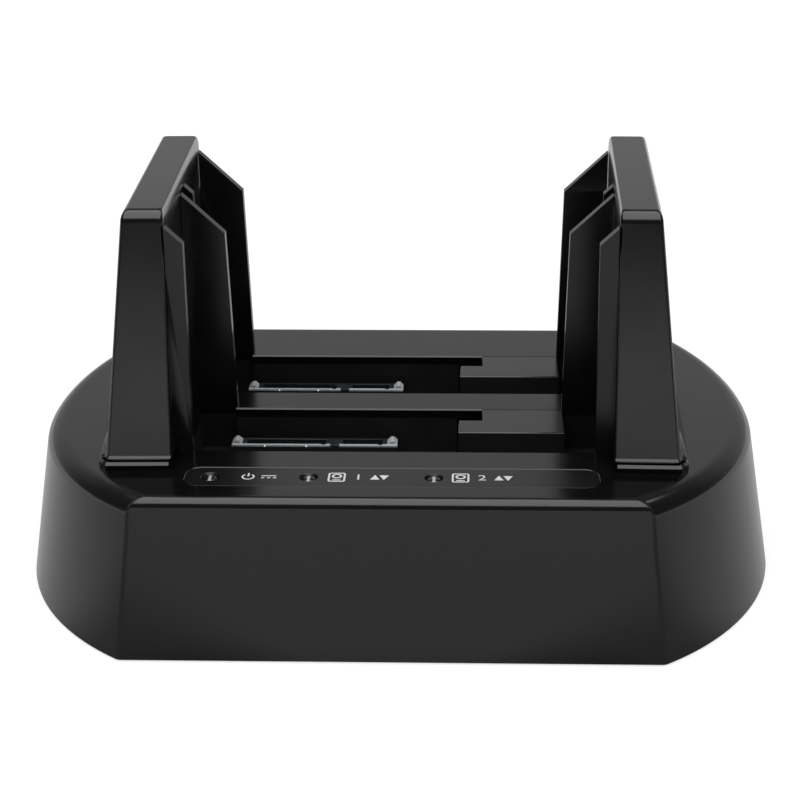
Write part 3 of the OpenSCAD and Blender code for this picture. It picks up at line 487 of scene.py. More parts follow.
def baseSkin(name, inset, low, high, hem, shoulder, rim):
    # skirt that leans in, turns over the shoulder and closes with the deck
    look = baseLook
    sides = ((look["endRadius"], look["endDraw"], shoulder), (baseHigh.y, look["frontDraw"], rim),
             (baseHigh.y, look["backDraw"], rim))
    rings = []

    def addLevel(level, extra=0.0):
        sizes = [drawnIn(size, draw, level) - inset - extra for size, draw, _ in sides]
        rings.append(baseRing(*((size, level) for size in sizes)))

    def turnOver(size, draw, radius, share):
        lean = math.atan2(draw, deckTop - baseLow.z)
        angle = lean + (math.pi / 2 - lean) * share
        centre = drawnIn(size, draw, high) - inset - radius * (1 - math.sin(lean)) / math.cos(lean)
        return centre + radius * math.cos(angle), high - radius + radius * math.sin(angle)

    if hem:
        for angle in (0, 30, 60):
            turn = math.radians(angle)
            addLevel(low + hem * (1 - math.cos(turn)), hem * (1 - math.sin(turn)))
        low += hem
    top = high - max(shoulder, rim)
    for i in range(look["wallSteps"]):
        addLevel(low + (top - low) * i / look["wallSteps"])
    for i in range(look["edgeSteps"] + 1):
        rings.append(baseRing(*(turnOver(*side, i / look["edgeSteps"]) for side in sides)))
    crest = [turnOver(*side, 1) for side in sides]
    rings.append(baseRing(*((size - look["deckBand"], level) for size, level in crest)))
    bm = bmesh.new()
    loft(bm, rings)
    return objectFrom(name, bm)


slotLook = {"wellWall": 1.8, "channelStep": 2.2, "channelGap": 0.1, "notch": 6}


def slotOutline(bay):
    # opening of a slot, with a deeper channel at each end
    low, high = boxOf(bay + "_bay_well")
    wall = slotLook["wellWall"]
    half, front, channelBack = high.x - wall, low.y + wall, high.y - wall
    back = channelBack - slotLook["channelStep"]
    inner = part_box(bay + "_size_flap")[1].x / mm + slotLook["channelGap"]
    right = [(half, front), (half, channelBack), (inner, channelBack), (inner, back)]
    return right + [(-x, y) for x, y in right[::-1]]


stripLow, stripHigh = boxOf("indicator_strip")
lightNodes = ("power_light_guide", "front_drive_light_guide", "rear_drive_light_guide")
panelLook = {
    "stripRound": 3.6, "stripGap": 0.05, "stripEdge": 0.18, "lightHole": 1.9, "portGap": 0.3,
    "buttonHole": 4.0}


def stripOutline(grow):
    return barOutline(stripLow.x - grow, stripHigh.x + grow, stripLow.y - grow, stripHigh.y + grow,
                      (panelLook["stripRound"] + grow,) * 4, 10)


def ledgeCut(bay):
    # chamfer along the ledge behind a slot, as far as the notch in its flap
    points, edge = slotOutline(bay), baseLook["slotEdge"]
    (inner, back), end = points[3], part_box(bay + "_size_flap")[0].x / mm + slotLook["notch"]
    outline = [(back - 0.2, deckTop - edge - 0.2), (back + edge + 1, deckTop + 1), (back - 0.2, deckTop + 1)]
    return prism("ledgeCut", outline, -inner, end, "X")


def stripCut():
    gap, edge = panelLook["stripGap"], panelLook["stripEdge"]
    levels = ((gap, stripLow.z), (gap, deckTop - edge), (gap + edge, deckTop), (gap + edge, deckTop + 5))
    bm = bmesh.new()
    loft(bm, [[(*point, level) for point in stripOutline(grow)] for grow, level in levels])
    return objectFrom("stripCut", bm)


def baseCutters():
    under, over = deckTop - 2 * baseLook["deck"], deckTop + 5
    cutters = [prism("slotCut", slotOutline(bay), under, over) for bay in ("front", "rear")]
    cutters += [ledgeCut(bay) for bay in ("front", "rear")] + [stripCut()]
    for node in lightNodes:
        centre = boxCentre(node) / mm
        hole = circleOutline(centre.x, centre.y, panelLook["lightHole"])
        cutters.append(prism("lightCut", hole, under, over))
    back = baseHigh.y
    for node in ("dc_jack", "usb_socket"):
        low, high = boxOf(node)
        gap = panelLook["portGap"]
        outline = [(low.x - gap, low.z - gap), (high.x + gap, low.z - gap),
                   (high.x + gap, high.z + gap), (low.x - gap, high.z + gap)]
        cutters.append(prism("portCut", outline, back - 10, back + 5, "Y"))
    centre = boxCentre("power_button") / mm
    cutters.append(prism("buttonCut", circleOutline(centre.x, centre.z, panelLook["buttonHole"]),
                         back - 10, back + 5, "Y"))
    return cutters


towerLow, towerHigh = boxOf("right_tower_shell")
towerLook = {
    "inner": 53.5, "topWidth": 9.9, "footWidth": 16.1, "front": -39.5, "lean": 9.1, "back": 43.3,
    "backLean": 1.8, "toe": 1.35, "neck": 0.8, "neckHeight": 1.3, "flareDrop": 0.65, "endRound": 2.8,
    "outerRound": (1.3, 2.4), "softInner": (0.8, 2.7), "corner": 0.9, "innerCorner": 0.95, "lip": 0.5,
    "lipFlat": 0.15, "flare": 2.2, "flareHeight": 14.0, "flareStart": 0.9, "flareRun": 3.2,
    "roundSteps": 10, "flareSteps": 12, "sideSteps": 60, "sharpAngle": 28}
plinthLook = {
    "inner": 0.9, "edge": -0.1, "front": 1.0, "height": 1.8, "chamfer": 0.65, "sink": 1.25, "cornerTurn": 39}


def toed(x, y, side):
    # the towers are turned a little about their front inner edges
    turn = math.radians(-towerLook["toe"])
    dx, dy = x - towerLook["inner"], y - towerLook["front"]
    return (side * (towerLook["inner"] + dx * math.cos(turn) - dy * math.sin(turn)),
            towerLook["front"] + dx * math.sin(turn) + dy * math.cos(turn))


def plinthBlock(side):
    # low pad under a tower, chamfered on the sides that show, with cut outer corners
    look = plinthLook
    inner = towerLook["inner"] + look["inner"]
    foot = towerLook["inner"] + towerLook["footWidth"] + look["edge"]
    front, back = towerLook["front"] - look["front"], towerLook["back"] + look["edge"]
    turn = math.radians(look["cornerTurn"])
    top, chamfer = deckTop + look["height"], look["chamfer"]
    rings = []
    for level, inset in ((deckTop - look["sink"], 0), (top - chamfer, 0), (top, chamfer)):
        outer = foot + towerLook["flare"] - inset
        turned = foot - inset * (1 - math.sin(turn)) / math.cos(turn)   # where the cut corner starts
        run = (outer - turned) / math.tan(turn)
        ring = [(inner, front + inset), (turned, front + inset), (outer, front + inset + run),
                (outer, back - inset - run), (turned, back - inset), (inner, back - inset)]
        rings.append([(*toed(x, y, side), level) for x, y in ring])
    bm = bmesh.new()
    loft(bm, rings)
    return objectFrom("plinthBlock", bm)


lugLook = {"radius": 2.4, "width": 2.0, "steps": 16}


def hingeLugs(bay):
    # lugs under the deck that carry a flap's pin
    look = lugLook
    low, high = boxOf(bay + "_flap_pin")
    y, z, top = (low.y + high.y) / 2, (low.z + high.z) / 2, deckTop - baseLook["deck"] / 2
    outline = [(y + look["radius"], top), (y - look["radius"], top)]
    for i in range(look["steps"] + 1):
        angle = math.pi * (1 + i / look["steps"])
        outline.append((y + look["radius"] * math.cos(angle), z + look["radius"] * math.sin(angle)))
    return [prism("lug", outline, x, x + look["width"], "X") for x in (low.x, high.x - look["width"])]


def makeBaseShell():
    look = baseLook
    shell = baseSkin("baseShell", 0, baseLow.z - look["drop"], deckTop,
                     look["hem"], look["shoulder"], look["rim"])
    hollow = baseSkin("baseHollow", look["wall"], baseLow.z - 2, deckTop - look["deck"],
                      0, look["shoulder"] - look["wall"], look["innerRim"])
    cutWith(shell, [hollow])
    cutWith(shell, [plinthBlock(side) for side in (-1, 1)] + hingeLugs("front") + hingeLugs("rear"), "UNION")
    cutWith(shell, baseCutters())
    smoothFaces(shell)
    return finishPiece(shell, satinBlack, "housing_black", "dock", "top_housing")


makeBaseShell()
print("base shell made")


# Towers

def towerRing(side, level, spread=0.0, outset=0.0, neck=0.0, drop=0.0):
    # one level of a tower; outset is the lip, spread the flare of the outer side
    look = towerLook
    foot = towerLow.z + look["neckHeight"]
    share, below = (level - foot) / (towerHigh.z - foot), towerHigh.z - level

    def turnIn(width, height):
        return width * (1 - math.sqrt(max(1 - max(1 - below / height, 0) ** 2, 0)))

    endInset = turnIn(look["endRound"], look["endRound"]) - outset + neck
    inner = look["inner"] + turnIn(*look["softInner"]) + neck
    outer = look["inner"] + look["footWidth"] + (look["topWidth"] - look["footWidth"]) * share
    outer -= neck + turnIn(*look["outerRound"])
    front = look["front"] + look["lean"] * share + endInset
    back = look["back"] - look["backLean"] * share - endInset
    soft, sharp = look["corner"], look["innerCorner"]
    points = barOutline(inner, outer, front, back, (sharp, soft, soft, sharp), 6)
    middle = len(points) // 2
    start, end = front + soft, back - soft
    steps = look["sideSteps"]
    extra = []
    for i in range(1, steps):
        ease = (1 - math.cos(math.pi * i / steps)) / 2      # closer together at the two ends
        extra.append((outer, start + (end - start) * ease))
    ring = []
    for x, y in points[:middle] + extra + points[middle:]:
        run = min(max((min(y - front, back - y) - look["flareStart"]) / look["flareRun"], 0), 1)
        ease = run * run * (3 - 2 * run) if x > (inner + outer) / 2 else 0
        ring.append((*toed(x + spread * ease, y, side), level - drop * ease))
    return ring


def makeTower(name, side):
    look = towerLook
    foot = towerLow.z + look["neckHeight"]

    def flareAt(level):
        return look["flare"] * max(1 - (level - foot) / look["flareHeight"], 0) ** 2

    rings = []
    lip, flat = look["lip"], look["lipFlat"]
    for rise, outset in ((0, lip), (flat, lip), (flat + lip, 0)):
        rings.append(towerRing(side, foot + rise, flareAt(foot + rise), outset, 0, look["flareDrop"]))
    start = flat + lip
    for i in range(1, look["flareSteps"] + 1):
        level = foot + start + (look["flareHeight"] - start) * i / look["flareSteps"]
        rings.append(towerRing(side, level, flareAt(level)))
    for i in range(look["roundSteps"] + 1):
        turn = math.pi / 2 * i / look["roundSteps"]
        rings.append(towerRing(side, towerHigh.z - look["endRound"] * (1 - math.sin(turn))))
    bm = bmesh.new()
    loft(bm, rings)
    tower = objectFrom(name, bm)
    bm = bmesh.new()
    loft(bm, [towerRing(side, level, 0, 0, look["neck"]) for level in (towerLow.z, foot + lip)])
    cutWith(tower, [objectFrom("neck", bm)], "UNION")
    smoothFaces(tower, look["sharpAngle"])
    return tower


guideLook = {"edge": 0.22}
for sideName, side in (("left", -1), ("right", 1)):
    tower = makeTower(sideName + "Tower", side)
    finishPiece(tower, satinBlack, "housing_black", "dock", sideName + "_tower_shell")
    softCopy(sideName + "Guide", sideName + "_drive_guide", guideLook["edge"], guideBlack, "inner_black")
print("towers and guides made")


# Geometry Nodes for what repeats or follows a path

def startNodes(name, sizes):
    tree = bpy.data.node_groups.new(name, "GeometryNodeTree")
    tree.interface.new_socket("Geometry", in_out="INPUT", socket_type="NodeSocketGeometry")
    keys = {label: tree.interface.new_socket(label, in_out="INPUT", socket_type=kind).identifier
            for label, kind in sizes.items()}
    tree.interface.new_socket("Geometry", in_out="OUTPUT", socket_type="NodeSocketGeometry")
    return tree, keys, tree.nodes.new("NodeGroupInput").outputs


def endNodes(tree, geometry, finish):
    realize = tree.nodes.new("GeometryNodeRealizeInstances")
    coat = tree.nodes.new("GeometryNodeSetMaterial")
    result = tree.nodes.new("NodeGroupOutput")
    tree.links.new(geometry, realize.inputs["Geometry"])
    tree.links.new(realize.outputs["Geometry"], coat.inputs["Geometry"])
    tree.links.new(finish, coat.inputs["Material"])
    tree.links.new(coat.outputs["Geometry"], result.inputs["Geometry"])


def makePlacingTree():
    # a copy of a piece at each point, turned at random up to the spin
    tree, keys, given = startNodes("placedSet", {
        "Piece": "NodeSocketObject", "Spin": "NodeSocketFloat", "Finish": "NodeSocketMaterial"})
    points = tree.nodes.new("GeometryNodeMeshToPoints")
    piece = tree.nodes.new("GeometryNodeObjectInfo")
    spin = tree.nodes.new("FunctionNodeRandomValue")
    spin.data_type = "FLOAT"
    spin.inputs["Seed"].default_value = 5
    angles = tree.nodes.new("ShaderNodeCombineXYZ")
    turn = tree.nodes.new("FunctionNodeEulerToRotation")
    placed = tree.nodes.new("GeometryNodeInstanceOnPoints")
    tree.links.new(given["Geometry"], points.inputs["Mesh"])
    tree.links.new(given["Piece"], piece.inputs["Object"])
    tree.links.new(given["Spin"], spin.inputs[3])
    tree.links.new(spin.outputs[1], angles.inputs["Z"])
    tree.links.new(angles.outputs["Vector"], turn.inputs["Euler"])
    tree.links.new(points.outputs["Points"], placed.inputs["Points"])
    tree.links.new(piece.outputs["Geometry"], placed.inputs["Instance"])
    tree.links.new(turn.outputs["Rotation"], placed.inputs["Rotation"])
    endNodes(tree, placed.outputs["Instances"], given["Finish"])
    return tree, keys


def makeWireTree():
    # round wire along a path
    tree, keys, given = startNodes("woundWire", {
        "Radius": "NodeSocketFloat", "Sides": "NodeSocketInt", "Finish": "NodeSocketMaterial"})
    path = tree.nodes.new("GeometryNodeMeshToCurve")
    ring = tree.nodes.new("GeometryNodeCurvePrimitiveCircle")
    wire = tree.nodes.new("GeometryNodeCurveToMesh")
    wire.inputs["Fill Caps"].default_value = True
    tree.links.new(given["Geometry"], path.inputs["Mesh"])
    tree.links.new(given["Sides"], ring.inputs["Resolution"])
    tree.links.new(given["Radius"], ring.inputs["Radius"])
    tree.links.new(path.outputs["Curve"], wire.inputs["Curve"])
    tree.links.new(ring.outputs["Curve"], wire.inputs["Profile Curve"])
    endNodes(tree, wire.outputs["Mesh"], given["Finish"])
    return tree, keys


placingTree, placingKeys = makePlacingTree()
wireTree, wireKeys = makeWireTree()


def placePieces(name, places, piece, material, spin=0.0):
    bm = bmesh.new()
    for place in places:
        bm.verts.new(Vector(place) * mm)
    host = objectFrom(name, bm)
    nodes = host.modifiers.new("placed", "NODES")
    nodes.node_group = placingTree
    nodes[placingKeys["Piece"]] = piece
    nodes[placingKeys["Spin"]] = spin
    nodes[placingKeys["Finish"]] = material
    bakeModifiers(host)
    bpy.data.objects.remove(piece)
    smoothFaces(host)
    return host


def bendWire(name, path, radius, sides, material, angle=60):
    bm = bmesh.new()
    verts = [bm.verts.new(Vector(point) * mm) for point in path]
    for one, two in zip(verts, verts[1:]):
        bm.edges.new((one, two))
    host = objectFrom(name, bm)
    nodes = host.modifiers.new("wire", "NODES")
    nodes.node_group = wireTree
    nodes[wireKeys["Radius"]] = radius * mm
    nodes[wireKeys["Sides"]] = sides
    nodes[wireKeys["Finish"]] = material
    bakeModifiers(host)
    smoothFaces(host, angle)
    return host


# Flaps and receptacles

flapLook = {"topEdge": 0.32}


def softenTop(obj, level, back, width):
    # bevel only the edges at one level, except the one that closes against the ledge
    mesh = obj.data
    high = [abs(vert.co.z / mm - level) < near for vert in mesh.vertices]
    closing = [abs(vert.co.y / mm - back) < near for vert in mesh.vertices]
    weights = mesh.attributes.new("bevel_weight_edge", "FLOAT", "EDGE")
    for edge in mesh.edges:
        free = all(high[i] for i in edge.vertices) and not all(closing[i] for i in edge.vertices)
        weights.data[edge.index].value = float(free)
    bevel = obj.modifiers.new("topEdges", "BEVEL")
    bevel.width = width * mm
    bevel.segments = 2
    bevel.limit_method = "WEIGHT"
    bakeModifiers(obj)


# the dark colour below the pale edge is painted shade of the well, not the plastic's own colour
receptacleLook = {
    "colour": (0.3, 0.31, 0.32), "tint": (0.37, 0.38, 0.39), "paintedWellShade": (0.009, 0.011, 0.014),
    "edge": 0.12, "post": 0.9, "band": 0.5, "reach": 0.85, "fade": 0.06, "gap": (0.595, 0.65),
    "cloud": 4, "grain": 0.2, "rough": (0.34, 0.44), "gloss": 0.5, "depth": 0.005}
for bay in ("front", "rear"):
    flap = cadCopy(bay + "Flap", bay + "_size_flap")
    ledge = max(vert.co.y for vert in flap.data.vertices if vert.co.z / mm > deckTop - near) / mm
    softenTop(flap, deckTop, ledge, flapLook["topEdge"])
    smoothFaces(flap)
    finishPiece(flap, flapBlack, "housing_black", bay + "_flap", bay + "_size_flap")
    low, high = boxOf(bay + "_drive_receptacle")
    finish = receptacleWithPaintedShade(bay + "ReceptaclePaintedShade", receptacleLook, low, high)
    softCopy(bay + "Receptacle", bay + "_drive_receptacle", receptacleLook["edge"], finish, "connector_grey")

contactLook = {
    "width": 0.7, "reach": 0.86,
    # share of the height, how far it stands out, thickness
    "bow": ((0.0, 0.0, 0.3), (0.35, -0.05, 0.3), (0.62, -0.32, 0.26), (0.78, -0.42, 0.24),
            (0.9, -0.3, 0.24), (1.0, -0.12, 0.22))}
nubLook = {"radius": 0.45, "proud": 0.38, "root": 0.3, "drop": 0.55, "shares": (0.2, 0.45), "steps": 20}


def contactBlade(low, high):
    # sprung blade that bows out towards the drive near its tip
    look = contactLook
    half = look["width"] / 2
    rings = []
    for share, out, thick in look["bow"]:
        level = (high.z - low.z) * look["reach"] * share
        section = ((-half, out), (-half, out - thick), (half, out - thick), (half, out))
        rings.append([(x, y, level) for x, y in section])
    bm = bmesh.new()
    loft(bm, rings)
    return objectFrom("contactBlade", bm)


def nubShape():
    # low round stud that faces the front
    look = nubLook
    turns = [math.radians(angle) for angle in (0, 30, 60)]
    dome = [(look["radius"] * math.cos(turn), look["proud"] * math.sin(turn)) for turn in turns]
    root = [(0, -look["root"]), (look["radius"], -look["root"])]
    bm = bmesh.new()
    addLathe(bm, root + dome + [(0, look["proud"])], look["steps"])
    bmesh.ops.rotate(bm, verts=bm.verts, matrix=Matrix.Rotation(math.pi / 2, 3, "X"))
    return objectFrom("nub", bm)


for bay in ("front", "rear"):
    blades = solidBoxes(bay + "_drive_contacts")
    places = [((low.x + high.x) / 2, high.y, low.z) for low, high in blades]
    row = placePieces(bay + "Contacts", places, contactBlade(*blades[0]), contactGold)
    finishPiece(row, contactGold, "contact_gold", "dock", bay + "_drive_contacts")
    low, high = boxOf(bay + "_drive_receptacle")
    level = high.z - receptacleLook["post"] - nubLook["drop"]
    places = [(low.x + (high.x - low.x) * share, low.y, level) for share in nubLook["shares"]]
    nubs = placePieces(bay + "Nubs", places, nubShape(), platedSteel)
    finishPiece(nubs, platedSteel, "bright_steel", "dock")

springLook = {
    "wire": 0.6, "turns": 7, "coil": 1.65, "flapLeg": 10.0, "legGap": 0.1, "legRise": 2.1,
    "steps": 36, "sides": 12}


def springPath(bay):
    # leg under the flap, a coil round the pin, leg under the deck
    look = springLook
    low, high = boxOf(bay + "_flap_spring")
    pinLow, pinHigh = boxOf(bay + "_flap_pin")
    y, z = (pinLow.y + pinHigh.y) / 2, (pinLow.z + pinHigh.z) / 2
    half = look["wire"] / 2
    first, last = low.x + half, high.x - half
    path = [(first, y - look["flapLeg"], high.z - half)]
    count = look["turns"] * look["steps"]
    for i in range(count + 1):
        angle = math.pi / 2 - 2 * math.pi * i / look["steps"]
        along = first + (last - first) * i / count
        path.append((along, y + look["coil"] * math.cos(angle), z + look["coil"] * math.sin(angle)))
    return path + [(last, high.y - look["legGap"], z + look["legRise"])]


for bay in ("front", "rear"):
    wire = bendWire(bay + "Spring", springPath(bay), springLook["wire"] / 2, springLook["sides"], platedSteel)
    finishPiece(wire, platedSteel, "bright_steel", "dock", bay + "_flap_spring")
print("flaps, receptacles and springs made")


# Indicator strip and lights

stripLook = {"proud": 0.12, "edge": 0.26}
strip = cadCopy("indicatorStrip", "indicator_strip")
for vert in strip.data.vertices:
    if vert.co.z / mm > stripHigh.z - near:
        vert.co.z += stripLook["proud"] * mm
softenEdges(strip, stripLook["edge"])
smoothFaces(strip)
finishPiece(strip, stripFilm, "strip_black", "dock", "indicator_strip")

# colour and tint are the painted glint down the lens, smoke is the lens itself
lensLook = {"radius": 1.8, "chamfer": 0.2, "dome": 0.5, "collar": 3.0, "collarHeight": 1.2, "steps": 40,
            "colour": (0.3, 0.3, 0.29), "tint": (0.38, 0.38, 0.37), "smoke": (0.004, 0.004, 0.004),
            "paintedGlint": (0.2, 0.5), "cloud": 1.2, "grain": 0.8, "rough": (0.08, 0.16)}


def makeLens(name, node):
    look = lensLook
    low, high = boxOf(node)
    centre = (low + high) / 2
    under = deckTop - baseLook["deck"]
    radius, collar, chamfer = look["radius"], look["collar"], look["chamfer"]
    seat = under - look["collarHeight"]
    profile = [(0, low.z), (radius - chamfer, low.z), (radius, low.z + chamfer)]
    profile += [(radius, seat), (collar, seat), (collar, under), (radius, under)]
    for angle in range(0, 90, 15):
        turn = math.radians(angle)
        profile.append((radius * math.cos(turn), high.z - look["dome"] * (1 - math.sin(turn))))
    bm = bmesh.new()
    addLathe(bm, profile + [(0, high.z)], look["steps"])
    bmesh.ops.translate(bm, verts=bm.verts, vec=Vector((centre.x, centre.y, 0)) * mm)
    lens = objectFrom(name, bm)
    smoothFaces(lens)
    return finishPiece(lens, smokedLens(name, look, centre * mm), "light_clear", "dock", node)


for name, node in zip(("powerLens", "frontLens", "rearLens"), lightNodes):
    makeLens(name, node)

markLook = {
    "proud": 0.03, "sink": 0.01, "line": 0.45, "gap": 0.35, "height": 3.2, "stemFrom": 0.2,
    "powerAt": -34.6, "powerArc": (125, 290), "arcSteps": 32, "currentStep": 5.0, "currentHalf": 1.8,
    "dashHalf": 0.4, "dashStep": 1.45, "driveAt": (-13.2, 16.6), "tray": (2.1, 2.5),
    "trayRound": (0.7, 0.3), "disc": (1.25, 0.75), "discUp": 0.6, "discSteps": 28,
    "arm": (1.0, -1.75, -1.3), "digit": 4.2, "digitStep": 5.2, "arrow": (1.15, 1.2, 1.4),
    "arrowSteps": (9.2, 11.4)}


def addDigit(bm, digit, x, y, low, high):
    curve = bpy.data.curves.new("digit", "FONT")
    curve.body = digit
    curve.size = markLook["digit"] * mm
    curve.extrude = (high - low) / 2 * mm
    curve.align_x, curve.align_y = "CENTER", "CENTER"
    letter = bpy.data.objects.new("digit", curve)
    bpy.context.scene.collection.objects.link(letter)
    mesh = bpy.data.meshes.new_from_object(letter.evaluated_get(bpy.context.evaluated_depsgraph_get()))
    mesh.transform(Matrix.Translation(Vector((x, y, (low + high) / 2)) * mm))
    bm.from_mesh(mesh)
    bpy.data.objects.remove(letter)


def makeMarks():
    # printed signs beside the lights: power, direct current, drive and activity
    look = markLook
    line, gap = look["line"], look["gap"]
    middle = (stripLow.y + stripHigh.y) / 2
    low = stripHigh.z + stripLook["proud"] - look["sink"]
    high = low + look["proud"]
    bm = bmesh.new()

    def bar(x0, x1, y0, y1):
        addPrism(bm, [(x0, y0), (x1, y0), (x1, y1), (x0, y1)], low, high)

    x, radius, count = look["powerAt"], look["height"] / 2, look["arcSteps"]
    start, sweep = look["powerArc"]
    arc = [math.radians(start + sweep * i / count) for i in range(count + 1)]
    ring = [(x + radius * math.cos(a), middle + radius * math.sin(a)) for a in arc]
    ring += [(x + (radius - line) * math.cos(a), middle + (radius - line) * math.sin(a)) for a in arc[::-1]]
    addPrism(bm, ring, low, high)
    bar(x - line / 2, x + line / 2, middle + look["stemFrom"], middle + radius + gap)
    x, half = x + look["currentStep"], look["currentHalf"]
    bar(x - half, x + half, middle + gap, middle + gap + line)
    half = look["dashHalf"]
    for i in (-1, 0, 1):
        at = x + i * look["dashStep"]
        bar(at - half, at + half, middle - gap - line, middle - gap)
    for digit, x in zip("12", look["driveAt"]):
        (wide, tall), (outer, inner) = look["tray"], look["trayRound"]
        tray = barOutline(x - wide, x + wide, middle - tall, middle + tall, (outer,) * 4)
        wide, tall = wide - line, tall - line
        hollow = barOutline(x - wide, x + wide, middle - tall, middle + tall, (inner,) * 4)
        addRing(bm, tray, hollow, low, high)
        rims = [circleOutline(x, middle + look["discUp"], size, look["discSteps"]) for size in look["disc"]]
        addRing(bm, *rims, low, high)
        half, under, over = look["arm"]
        bar(x - half, x + half, middle + under, middle + over)
        addDigit(bm, digit, x + look["digitStep"], middle, low, high)
        half, foot, tip = look["arrow"]
        for flip, step in zip((1, -1), look["arrowSteps"]):
            at, base = x + step, middle - flip * foot
            arrow = [(at - flip * half, base), (at + flip * half, base), (at, middle + flip * tip)]
            addPrism(bm, arrow, low, high)
    marks = objectFrom("stripMarks", bm)
    return finishPiece(marks, printWhite, "light_clear", "dock")


makeMarks()
print("strip, lights and marks made")


# Back and underside

backLook = {"buttonEdge": 0.25, "buttonSteps": 3, "usbEdge": 0.2, "jackEdge": 0.25, "coverEdge": 0.25}
softCopy("powerButton", "power_button", backLook["buttonEdge"], guideBlack, "inner_black", "button",
         backLook["buttonSteps"])
softCopy("usbSocket", "usb_socket", backLook["usbEdge"], platedSteel, "bright_steel")
softCopy("dcJack", "dc_jack", backLook["jackEdge"], chipEpoxy, "chip_black")
softCopy("bottomCover", "bottom_cover", backLook["coverEdge"], wellBlack, "inner_black")

screwLook = {
    "headHeight": 2.0, "flat": (0.55, 0.03), "crown": (0.85, 0.25), "rimDrop": 0.75, "shank": 1.25,
    "root": 1.05, "tip": 0.7, "pitch": 0.8, "recess": (1.75, 0.38), "depth": 1.1, "spin": 6.28,
    "steps": 32}


def screwShape(headRadius, length, headUp):
    # pan head with a cross recess on a threaded shank, head at the origin
    look = screwLook
    headHeight = look["headHeight"]
    (flat, flatDrop), (crown, crownDrop) = look["flat"], look["crown"]
    profile = [(0, 0), (headRadius * flat, flatDrop), (headRadius * crown, crownDrop),
               (headRadius, look["rimDrop"]), (headRadius, headHeight), (look["shank"], headHeight)]
    level = headHeight + look["pitch"] / 2
    while level < length - look["pitch"]:
        profile += [(look["shank"], level), (look["root"], level + look["pitch"] / 2)]
        level += look["pitch"]
    bm = bmesh.new()
    addLathe(bm, profile + [(look["root"] * look["tip"], length), (0, length)], look["steps"])
    screw = objectFrom("screw", bm)
    reach, half = look["recess"]
    cross = [(-half, -reach), (half, -reach), (half, -half), (reach, -half), (reach, half), (half, half),
             (half, reach), (-half, reach), (-half, half), (-reach, half), (-reach, -half), (-half, -half)]
    cutWith(screw, [prism("cross", cross, -1, look["depth"])])
    if headUp:
        screw.data.transform(Matrix.Rotation(math.pi, 4, "X"))
    return screw


screwSets = (
    ("coverScrews", "cover_screws", False), ("towerScrews", "tower_screws", False),
    ("boardScrews", "board_screws", True))
for name, node, headUp in screwSets:
    boxes = solidBoxes(node)
    low, high = boxes[0]
    shape = screwShape((high.x - low.x) / 2, high.z - low.z, headUp)
    screws = placePieces(name, standingOn(boxes, headUp), shape, platedSteel, screwLook["spin"])
    finishPiece(screws, platedSteel, "bright_steel", "dock", node)

footLook = {
    # in from the rim, and the height there
    "sole": ((3.1, 0.08), (2.9, 0.2), (2.4, 0.2), (2.2, 0.0), (0.5, 0.0), (0.2, 0.12), (0.0, 0.4)),
    "steps": 56}


def footShape(low, high):
    # round foot with a soft rim and a shallow ring in its sole
    radius, height = (high.x - low.x) / 2, high.z - low.z
    sole = [(radius - inset, level) for inset, level in footLook["sole"]]
    bm = bmesh.new()
    addLathe(bm, [(0, sole[0][1])] + sole + [(radius, height), (0, height)], footLook["steps"])
    return objectFrom("foot", bm)


boxes = solidBoxes("rubber_feet")
feet = placePieces("rubberFeet", standingOn(boxes), footShape(*boxes[0]), footRubber)
finishPiece(feet, footRubber, "foot_rubber", "dock", "rubber_feet")
print("back and underside made")


# Board parts

canLook = {
    "base": 1.0, "corner": 1.2, "groove": 0.25, "grooveAt": 1.7, "grooveHalf": 0.4, "play": 0.02,
    # in from the side, and the height there
    "rim": ((0.7, 0.12), (0.5, 0.0), (0.2, 0.0), (0.02, 0.25)), "steps": 40}


def canShape(low, high):
    # rolled can under a square base with two cut corners
    look = canLook
    half, height = (high.x - low.x) / 2, high.z - low.z
    bm = bmesh.new()
    start, groove = height - look["base"], height - look["base"] - look["grooveAt"]
    rim = [(half - inset, level) for inset, level in look["rim"]]
    wall, reach = half - look["play"], look["grooveHalf"]
    side = [(wall, groove - reach), (half - look["groove"], groove), (wall, groove + reach), (wall, start)]
    addLathe(bm, [(0, rim[0][1])] + rim + side + [(0, start)], look["steps"])
    cut = half - look["corner"]
    outline = [(-half, -half), (half, -half), (half, cut), (cut, half), (-cut, half), (-half, cut)]
    addPrism(bm, outline, start, height)
    return objectFrom("can", bm)


# level, and the shares of width and depth there
lampLook = {"steps": (
    (0, 1, 1), (0.55, 1, 1), (0.6, 0.97, 0.95), (0.62, 0.72, 0.8), (0.95, 0.66, 0.72), (1, 0.58, 0.6))}


def lampShape(low, high):
    # surface lamp: a block with a raised lens
    wide, deep, tall = (high - low) / 2
    corners = ((-1, -1), (1, -1), (1, 1), (-1, 1))
    rings = [[(x * wide * a, y * deep * b, 2 * tall * level) for x, y in corners]
             for level, a, b in lampLook["steps"]]
    bm = bmesh.new()
    loft(bm, rings)
    return objectFrom("lamp", bm)


boardSets = (
    ("capacitorCans", "capacitors", canShape, canAluminium, "can_aluminium"),
    ("statusLamps", "status_leds", lampShape, lampWhite, "light_clear"))
for name, node, shape, material, slot in boardSets:
    boxes = solidBoxes(node)
    pieces = placePieces(name, standingOn(boxes), shape(*boxes[0]), material)
    finishPiece(pieces, material, slot, "dock", node)

carriedOver = {
    "front_bay_well": wellBlack, "rear_bay_well": wellBlack, "front_flap_pin": platedSteel,
    "rear_flap_pin": platedSteel, "main_circuit_board": boardGreen, "bridge_chip": chipEpoxy,
    "usb_tongue": tongueBlue, "dc_pin": platedSteel, "power_switch": chipEpoxy}
for node, material in carriedOver.items():
    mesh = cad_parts[node].data
    mesh.materials.clear()
    mesh.materials.append(material)
print("board parts made, carried over:", len(carriedOver), "nodes")


# Studio

